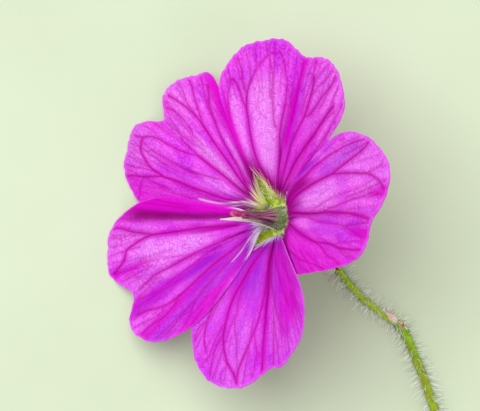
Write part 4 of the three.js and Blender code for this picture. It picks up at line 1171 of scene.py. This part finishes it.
def petal_points(petal, column, along):
    """Points on the middle of a petal, and what is drawn at each of them."""
    across = np.sin(column * math.pi / 2)
    reach, shoulder, roundness, flare, lift, side_sag = [
        np.where(across > 0, left, right) for left, right in zip(petal["left"], petal["right"])]
    aside = np.abs(across)
    bearing = across * reach
    corner = shoulder + (1 - shoulder) * np.sqrt(np.clip(1 - aside ** roundness, 0, 1))
    from_notch = bearing - petal["notch_at"]
    slanted = petal["length"] + petal["slant"] * np.sin(across * math.radians(SLANT_ANGLE))
    length = slanted * corner - petal["notch"] * np.exp(-(from_notch / petal["notch_width"]) ** 2)
    length += RIM_SCALLOP * np.cos(RIM_SCALLOPS * column * math.pi)
    length += sum(height * np.sin(waves * across + petal["seed"] * waves) for waves, height in CRENATIONS)
    out = along * length

    spread = 1 - np.exp(-(out / flare) ** SPREAD_SHARPNESS)
    angle = np.radians(bearing) * spread
    throat = 1 - np.exp(-out / THROAT_REACH)
    in_claw = np.exp(-(out / CLAW_HEIGHT) ** 2)
    past_throat = 1 - np.exp(-(out / MARGIN_REACH) ** 2)
    outer = (out / petal["length"]) ** 2
    rise = math.radians(petal["rise"])
    radius = out * math.cos(rise) - THROAT_INSET * throat + CLAW_RADIUS * in_claw
    height = out * math.sin(rise) + THROAT_DEPTH * throat + lift * across * across * past_throat
    height -= CLAW_ROOT * in_claw
    height -= CREASE_DEPTH * np.exp(-(from_notch / CREASE_HALF_ANGLE) ** 2) * past_throat
    height += RIB_HEIGHT * np.cos(from_notch * 2 * math.pi / RIB_ANGLE) * (1 - aside * aside) * outer
    sideways = across * CLAW_HALF_WIDTH + np.sin(angle) * radius
    local = np.stack([np.cos(angle) * radius, sideways, height], axis=-1)
    turn = np.array(flower @ Matrix.Rotation(math.radians(petal["azimuth"]), 4, "Z"))
    points = local @ turn[:3, :3].T + turn[:3, 3]

    per_across = CLAW_HALF_WIDTH + np.radians(reach) * spread * radius
    middle, left_edge, right_edge = petal["claw"]
    claw_length = middle + (np.where(across > 0, left_edge, right_edge) - middle) * across * across
    veins = petal["veins"] + rim_veins(random.Random(petal["seed"]))
    drawn = {
        "vein": drawn_lines(veins, across, along, per_across, length, VEIN_WIDTH),
        "halo": drawn_lines(veins, across, along, per_across, length, HALO_WIDTH),
        "streak": drawn_lines(petal["streaks"], across, along, per_across, length, STREAK_WIDTH),
        "past_claw": CLAW_FADE * (out / claw_length - 1),
        "shade": np.full_like(out, petal["shade"]),
        "rim": np.maximum(smooth(along, RIM_FROM[0], 1), smooth(aside, RIM_FROM[1], 1)),
        "growth": np.stack([bearing / GROWTH_DEGREES, out, np.full_like(out, petal["seed"])], axis=-1),
    }
    for kind in ("deep", "dark", "violet", "pale"):
        drawn[kind] = np.clip(sum(zone(across, along, where) for where in petal[kind]), 0, 1)

    folded = sum(zone(across, along, where) for where in petal["folds"])
    ripple = np.sin(RIPPLE_ACROSS[0] * bearing + petal["seed"])
    ripple *= np.sin(RIPPLE_ALONG * out + RIPPLE_ACROSS[1] * bearing + petal["seed"])
    sag = (petal["sag"] * (1 - aside * aside) + side_sag * aside * aside) * outer * out / petal["length"]
    points[:, 2] += folded + RIPPLE_HEIGHT * ripple * past_throat * (1 - aside ** 4)
    points[:, 2] -= sag + VEIN_RELIEF * drawn["vein"]
    points[:, 2] = np.maximum(points[:, 2], PETAL_WALL / 2)
    return points, drawn


def petal_material(name, claw_base, claw_tip, throat_shade_colour):
    """Silky petal: magenta with darker veins, painted sheen and shade, paler at its rim, pale at its claw."""
    finish, tree, surface = new_material(name, PETAL_ROUGHNESS)
    growth = add_node(tree, "ShaderNodeAttribute", {}, attribute_name="growth").outputs["Vector"]

    def squeezed(across, along):
        laid = add_node(tree, "ShaderNodeMapping", {"Vector": growth, "Scale": (across, along, 1)})
        return laid.outputs["Vector"]

    def grown_patches(pattern):
        across, along, *rest = pattern
        return patchy(tree, squeezed(across, along), rest)

    def laid_over(under, mark, share, tint):
        return mixed(tree, times(tree, mark_of(tree, mark), share), under, colour(*tint))

    fibres = grown_patches(PETAL_FIBRES)
    grain = grown_patches(PETAL_GRAIN)
    pale = mark_of(tree, "pale")
    flesh = mixed(tree, fibres, colour(*PETAL_PINK), colour(*PETAL_LIGHT))
    flesh = mixed(tree, times(tree, grown_patches(PETAL_CLOUDS), CLOUD_SHARE), flesh, colour(*PETAL_PALE))
    flesh = mixed(tree, grown_patches(PETAL_POOLS), flesh, colour(*PETAL_PURPLE))
    # Painted sheen: the pale zones lighten the flesh, with pale grain and white glints in them, where light
    # glances off the skin
    paler = times(tree, pale, ramp(tree, fibres, 0, 1, *PALE_SHARES))
    flesh = mixed(tree, paler, flesh, colour(*PETAL_PALE))
    sheen_grain = times(tree, grain, ramp(tree, pale, 0, 1, *GRAIN_SHARES))
    flesh = mixed(tree, sheen_grain, flesh, colour(*PETAL_PALE))
    flesh = mixed(tree, times(tree, grown_patches(PETAL_GLINTS), pale), flesh, colour(*PETAL_WHITE))
    # Painted shade: deeper magenta where the deep zones lie, in creases and folds and on margins turned from
    # the light
    flesh = laid_over(flesh, "deep", SHADED_MAGENTA_SHARE, PETAL_SHADED_MAGENTA)
    laid = squeezed(*NET_SQUEEZED)
    for scale, strength in PETAL_NETS:
        net = add_node(tree, "ShaderNodeTexVoronoi", {"Vector": laid, "Scale": scale},
                       feature="DISTANCE_TO_EDGE")
        lines = ramp(tree, net.outputs["Distance"], 0.0, NET_FADE, strength, 0.0)
        flesh = mixed(tree, times(tree, lines, fibres), flesh, colour(*PETAL_HALO))
    # Painted shade and a painted blue sheen come in here with the dark and violet marks, over the violet tint
    for mark, share, tint in PETAL_LAYERS:
        flesh = laid_over(flesh, mark, share, tint)

    past_claw = plus(tree, mark_of(tree, "past_claw"), grown_patches(CLAW_FRAY))
    # Painted shade: the throat's shadow, darkest just past the claw and fading out further on
    shade = ramp(tree, past_claw, CLAW_EDGE, SHADE_REACH, 1, 0)
    flesh = mixed(tree, times(tree, shade, mark_of(tree, "shade")), flesh, colour(*throat_shade_colour))
    flesh = laid_over(flesh, "rim", RIM_SHARE, PETAL_RIM)
    claw = mixed(tree, ramp(tree, past_claw, *CLAW_TINTED), colour(*claw_base), colour(*claw_tip))
    claw = mixed(tree, times(tree, grain, CLAW_GRAIN_SHARE), claw, colour(*PETAL_WHITE))
    flesh = mixed(tree, ramp(tree, past_claw, 0, CLAW_EDGE, 1, 0), flesh, claw)
    # Painted highlight: white streaks where folded margins near the claws catch the light
    flesh = laid_over(flesh, "streak", HIGHLIGHT_STREAK_SHARE, PETAL_WHITE)
    feed(tree, surface.inputs["Base Color"], flesh)

    cells = noise(tree, squeezed(*CELLS_SQUEEZED), *PETAL_CELLS)
    feed(tree, surface.inputs["Roughness"], ramp(tree, cells, *CELL_ROUGHNESS))
    bumpy(tree, surface, cells, CELL_RELIEF, CELL_DEPTH)
    surface.inputs["Specular IOR Level"].default_value = PETAL_GLOSS
    glow = add_node(tree, "ShaderNodeBsdfTranslucent", {"Color": flesh})
    both = add_node(tree, "ShaderNodeMixShader", {0: PETAL_GLOW, 1: surface.outputs[0], 2: glow.outputs[0]})
    feed(tree, tree.nodes["Material Output"].inputs["Surface"], both.outputs[0])
    return finish


petal_finishes = {
    "cream": petal_material("petal_cream_claw", CLAW_GREEN, CLAW_CREAM, PETAL_SHADE),
    "lilac": petal_material("petal_lilac_claw", CLAW_OLIVE, CLAW_LILAC, PETAL_VIOLET_SHADE),
}
for name, petal in PETALS.items():
    shape = bmesh.new()
    bmesh.ops.create_grid(shape, x_segments=PETAL_COLUMNS, y_segments=PETAL_ROWS, size=1)
    laid_out = np.array([vertex.co for vertex in shape.verts])
    points, drawn = petal_points(petal, laid_out[:, 0], (laid_out[:, 1] + 1) / 2)
    for vertex, point in zip(shape.verts, points):
        vertex.co = point
    finish = petal_finishes[petal["tint"]]
    finished(name, shape, [finish], drawn, [petal["stands_for"]], PETAL_WALL)
    chance = random.Random(petal["seed"])
    grown = []
    for _ in range(CLAW_HAIRS):
        share = chance.uniform(*CLAW_HAIRS_ALONG)
        side = chance.choice([-1, 1])
        near = np.array([side, side * CLAW_HAIRS_INSIDE, side])
        (root, inside, ahead), _ = petal_points(petal, near, np.array([share, share, share + STEP_ALONG]))
        forward = Vector(ahead - root).normalized()
        away = Vector(root - inside).normalized() + forward * chance.uniform(*CLAW_HAIRS_AHEAD)
        away += Vector([chance.gauss(middle, CLAW_HAIRS_WANDER) for middle in (0, 0, CLAW_HAIRS_UP)])
        grown.append((Vector(root), away.normalized(), chance.uniform(*CLAW_HAIR_LENGTHS), STRAIGHT))
    hairs(name.replace("petal", "claw") + "_hairs", grown, CLAW_HAIR_THICKNESS)

# The stamens
#
# Ten flattened filaments stand on a short cup round the ovary and close in round the style. Their
# anthers have dropped. They are lilac, with dark red lines painted along them as shade in the narrow
# gaps between them, and one of them, whitish, has come away from the others and droops to one side.

STAMEN_WALL = 0.1
CUP_RADIUS = 1.2
CUP_TOP_RADIUS = 1.02
CUP_HEIGHT = 0.9
CUP_SIDES = 60
FILAMENTS = 10
FILAMENT_COLUMNS = 8
FILAMENT_ROWS = 40
FILAMENT_RADIUS = 1.08
FILAMENT_TOP_RADIUS = 0.4
FILAMENTS_MEET = 0.62
FILAMENT_START = 0.2
FILAMENT_LENGTH = 6.3
OUTER_SHORTER = 0.7
FILAMENT_WIDTH = 0.62
FILAMENT_TIP = 0.2
FILAMENT_CURL = 0.08
DROOPING = 6
DROOP_OUT = 1.25
DROOP_ASIDE = -0.95
DROOPING_WIDTH = 1.55
DROOPING_TAPER = 1.7
DROOPING_LONGER = 1.4
WHITE_FROM = 0.2
FILAMENT_FOOT = (120, 134, 92)
FILAMENT_LILAC = (164, 100, 134)
FILAMENT_GAP_SHADE = (64, 4, 32)
FILAMENT_WHITE = (226, 224, 204)
FILAMENT_GAP_SHADE_STREAKS = (1.0, 2.0, 0.49, 0.56)
STREAKS_ACROSS = 1.6
STREAKS_ALONG = 1.2
STREAKS_APART = 7
FOOT_ENDS = (0.16, 0.36)
FILAMENT_ROUGHNESS = 0.45
FILAMENT_LIGHT_INSIDE = 0.2
LILAC_FLESH = (0.6, 0.2, 0.4)


def stamen_material():
    """Filament: grey-green at its foot, lilac above it, with dark red lines of painted gap shade along it."""
    finish, tree, surface = new_material("filament", FILAMENT_ROUGHNESS)
    grain = add_node(tree, "ShaderNodeAttribute", {}, attribute_name="grain").outputs["Vector"]
    streaks = patchy(tree, grain, FILAMENT_GAP_SHADE_STREAKS)
    # Painted shade: dark red lines for the gaps between the filaments
    skin = mixed(tree, streaks, colour(*FILAMENT_LILAC), colour(*FILAMENT_GAP_SHADE))
    skin = mixed(tree, ramp(tree, mark_of(tree, "along"), *FOOT_ENDS), colour(*FILAMENT_FOOT), skin)
    skin = mixed(tree, mark_of(tree, "white"), skin, colour(*FILAMENT_WHITE))
    feed(tree, surface.inputs["Base Color"], skin)
    lit_inside(surface, FILAMENT_LIGHT_INSIDE, LILAC_FLESH)
    return finish


shape = bmesh.new()
bmesh.ops.create_cone(shape, cap_ends=False, segments=CUP_SIDES, radius1=CUP_RADIUS, radius2=CUP_TOP_RADIUS,
                      depth=CUP_HEIGHT, matrix=Matrix.Translation((0, 0, CUP_HEIGHT / 2)))
marks = {
    "along": [0.0] * len(shape.verts), "white": [0.0] * len(shape.verts),
    "grain": [(0.0, 0.0, 0.0)] * len(shape.verts),
}
for number in range(FILAMENTS):
    strip = bmesh.ops.create_grid(shape, x_segments=FILAMENT_COLUMNS, y_segments=FILAMENT_ROWS, size=1)
    bearing = (number + 0.5) * 2 * math.pi / FILAMENTS
    length = FILAMENT_LENGTH - (OUTER_SHORTER if number % 2 == 0 else 0)
    droops = number == DROOPING
    if droops:
        length *= DROOPING_LONGER
    for vertex in strip["verts"]:
        across, share = vertex.co.x, (vertex.co.y + 1) / 2
        closed = float(smooth(share, 0, FILAMENTS_MEET))
        width = FILAMENT_WIDTH + (FILAMENT_TIP - FILAMENT_WIDTH) * closed
        if droops:
            width = DROOPING_WIDTH * (1 - share ** DROOPING_TAPER)
        radius = FILAMENT_RADIUS + (FILAMENT_TOP_RADIUS - FILAMENT_RADIUS) * closed
        hang = share * share if droops else 0
        point = Vector((radius - FILAMENT_CURL * across * across + hang * DROOP_OUT,
                        across * width / 2 + hang * DROOP_ASIDE, FILAMENT_START + share * length))
        vertex.co = Matrix.Rotation(bearing, 4, "Z") @ point
        marks["along"].append(share)
        marks["white"].append(min(1, share / WHITE_FROM) if droops else 0)
        marks["grain"].append((number * STREAKS_APART + across * STREAKS_ACROSS, share * STREAKS_ALONG, 0))
bmesh.ops.transform(shape, matrix=flower, verts=shape.verts[:])
finished("filaments", shape, [stamen_material()], marks, ["stamens"], STAMEN_WALL)

# The pistil
#
# A five-lobed ovary covered in short pale hairs stands in the throat. Its style rises between the
# filaments and ends in five stigma arms, still closed into a dull red club.

OVARY_PROFILE = [
    (0.0, 0.0), (0.62, 0.0), (0.76, 0.3), (0.8, 0.7), (0.76, 1.15), (0.6, 1.6), (0.42, 2.0), (0.33, 2.6),
    (0.3, 4.0), (0.3, 6.6), (0.26, 7.0), (0.0, 7.05),
]
PROFILE_CUTS = 3
OVARY_STEPS = 50
OVARY_LOBES = 5
OVARY_LOBE = 0.12
OVARY_TOP = 2.0
STIGMA_ARMS = 5
STIGMA_SIDES = 12
STIGMA_CUTS = 8
STIGMA_LENGTH = 2.15
STIGMA_START = 6.5
STIGMA_RADIUS = 0.17
STIGMA_TIP = 0.06
STIGMA_ROUNDING = 5
STIGMA_AT = 0.15
STIGMA_SPREAD = 0.05
OVARY_GREEN = (118, 138, 84)
OVARY_GREY = (146, 156, 118)
OVARY_FELT = (2400.0, 3.0, 0.35, 0.65)
STYLE_MAUVE = (170, 96, 110)
STYLE_FROM = (1.6, 3.2)
STIGMA_RED = (168, 38, 94)
STIGMA_HIGHLIGHT = (224, 124, 150)
STIGMA_HIGHLIGHT_PATCHES = (1300.0, 3.0, 0.5, 0.7)
STIGMA_FROM = (5.6, 6.8)
PISTIL_ROUGHNESS = 0.35

# The ovary's hairs come out between the filaments, lower ones at the cup and higher ones above its edge
OVARY_HAIRS = 170
OVARY_HAIR_SEED = 31
OVARY_HAIR_THICKNESS = 0.022
OVARY_HAIR_LENGTHS = (0.15, 0.34)
OVARY_HAIR_HEIGHTS = (0.3, 2.6)
OVARY_HAIR_RISE = (0.1, 0.8)
HAIRS_AT_CUP = 1.2
HAIRS_ABOVE_CUP = 1.1


def pistil_material():
    """Pistil: a grey-green ovary, a mauve style and dull red stigma arms with painted pink highlights."""
    finish, tree, surface = new_material("pistil_skin", PISTIL_ROUGHNESS)
    place = object_place(tree)
    skin = mixed(tree, patchy(tree, place, OVARY_FELT), colour(*OVARY_GREEN), colour(*OVARY_GREY))
    skin = mixed(tree, ramp(tree, mark_of(tree, "height"), *STYLE_FROM), skin, colour(*STYLE_MAUVE))
    # Painted highlight: pale pink patches on the stigma arms
    arms = mixed(tree, patchy(tree, place, STIGMA_HIGHLIGHT_PATCHES), colour(*STIGMA_RED), colour(*STIGMA_HIGHLIGHT))
    skin = mixed(tree, ramp(tree, mark_of(tree, "height"), *STIGMA_FROM), skin, arms)
    feed(tree, surface.inputs["Base Color"], skin)
    return finish


shape = bmesh.new()
for number in range(STIGMA_ARMS):
    bmesh.ops.create_cone(shape, cap_ends=True, segments=STIGMA_SIDES, radius1=STIGMA_RADIUS,
                          radius2=STIGMA_RADIUS, depth=STIGMA_LENGTH,
                          matrix=Matrix.Translation((0, 0, STIGMA_LENGTH / 2)))
    bmesh.ops.subdivide_edges(shape, edges=upright(shape, STIGMA_LENGTH), cuts=STIGMA_CUTS,
                              use_grid_fill=True)
    turn = Matrix.Rotation(number * 2 * math.pi / STIGMA_ARMS, 4, "Z")
    for vertex in [v for v in shape.verts if v.co.z < STIGMA_START]:
        share = vertex.co.z / STIGMA_LENGTH
        narrowed = math.sqrt(1 - (1 - STIGMA_TIP) * share ** STIGMA_ROUNDING)
        vertex.co.y *= narrowed
        vertex.co.x = (vertex.co.x + STIGMA_AT) * narrowed + STIGMA_SPREAD * share
        vertex.co.z += STIGMA_START
        vertex.co = turn @ vertex.co
profile = [shape.verts.new((radius, 0, height)) for radius, height in OVARY_PROFILE]
edges = [shape.edges.new((lower, upper)) for lower, upper in zip(profile, profile[1:])]
bmesh.ops.subdivide_edges(shape, edges=edges, cuts=PROFILE_CUTS)
wires = [e for e in shape.edges if e.is_wire]
line = [v for v in shape.verts if v.is_wire]
bmesh.ops.spin(shape, geom=line + wires, axis=(0, 0, 1), cent=(0, 0, 0), angle=2 * math.pi,
               steps=OVARY_STEPS, use_merge=True)
bmesh.ops.remove_doubles(shape, verts=shape.verts[:], dist=SAME_POINT)
bmesh.ops.recalc_face_normals(shape, faces=shape.faces[:])
for vertex in [v for v in shape.verts if v.co.z < OVARY_TOP]:
    lobed = 1 + OVARY_LOBE * math.cos(OVARY_LOBES * math.atan2(vertex.co.y, vertex.co.x))
    vertex.co.x *= lobed
    vertex.co.y *= lobed
heights = [vertex.co.z for vertex in shape.verts]
bmesh.ops.transform(shape, matrix=flower, verts=shape.verts[:])
finished("carpels", shape, [pistil_material()], {"height": heights}, ["pistil"])

chance = random.Random(OVARY_HAIR_SEED)
grown = []
for _ in range(OVARY_HAIRS):
    angle = chance.uniform(0, 2 * math.pi)
    height = chance.uniform(*OVARY_HAIR_HEIGHTS)
    radius = HAIRS_AT_CUP if height < CUP_HEIGHT else HAIRS_ABOVE_CUP
    outward = Vector((math.cos(angle), math.sin(angle), chance.uniform(*OVARY_HAIR_RISE))).normalized()
    root = flower @ Vector((radius * math.cos(angle), radius * math.sin(angle), height))
    grown.append((root, flower.to_3x3() @ outward, chance.uniform(*OVARY_HAIR_LENGTHS), STRAIGHT))
hairs("ovary_hairs", grown, OVARY_HAIR_THICKNESS)
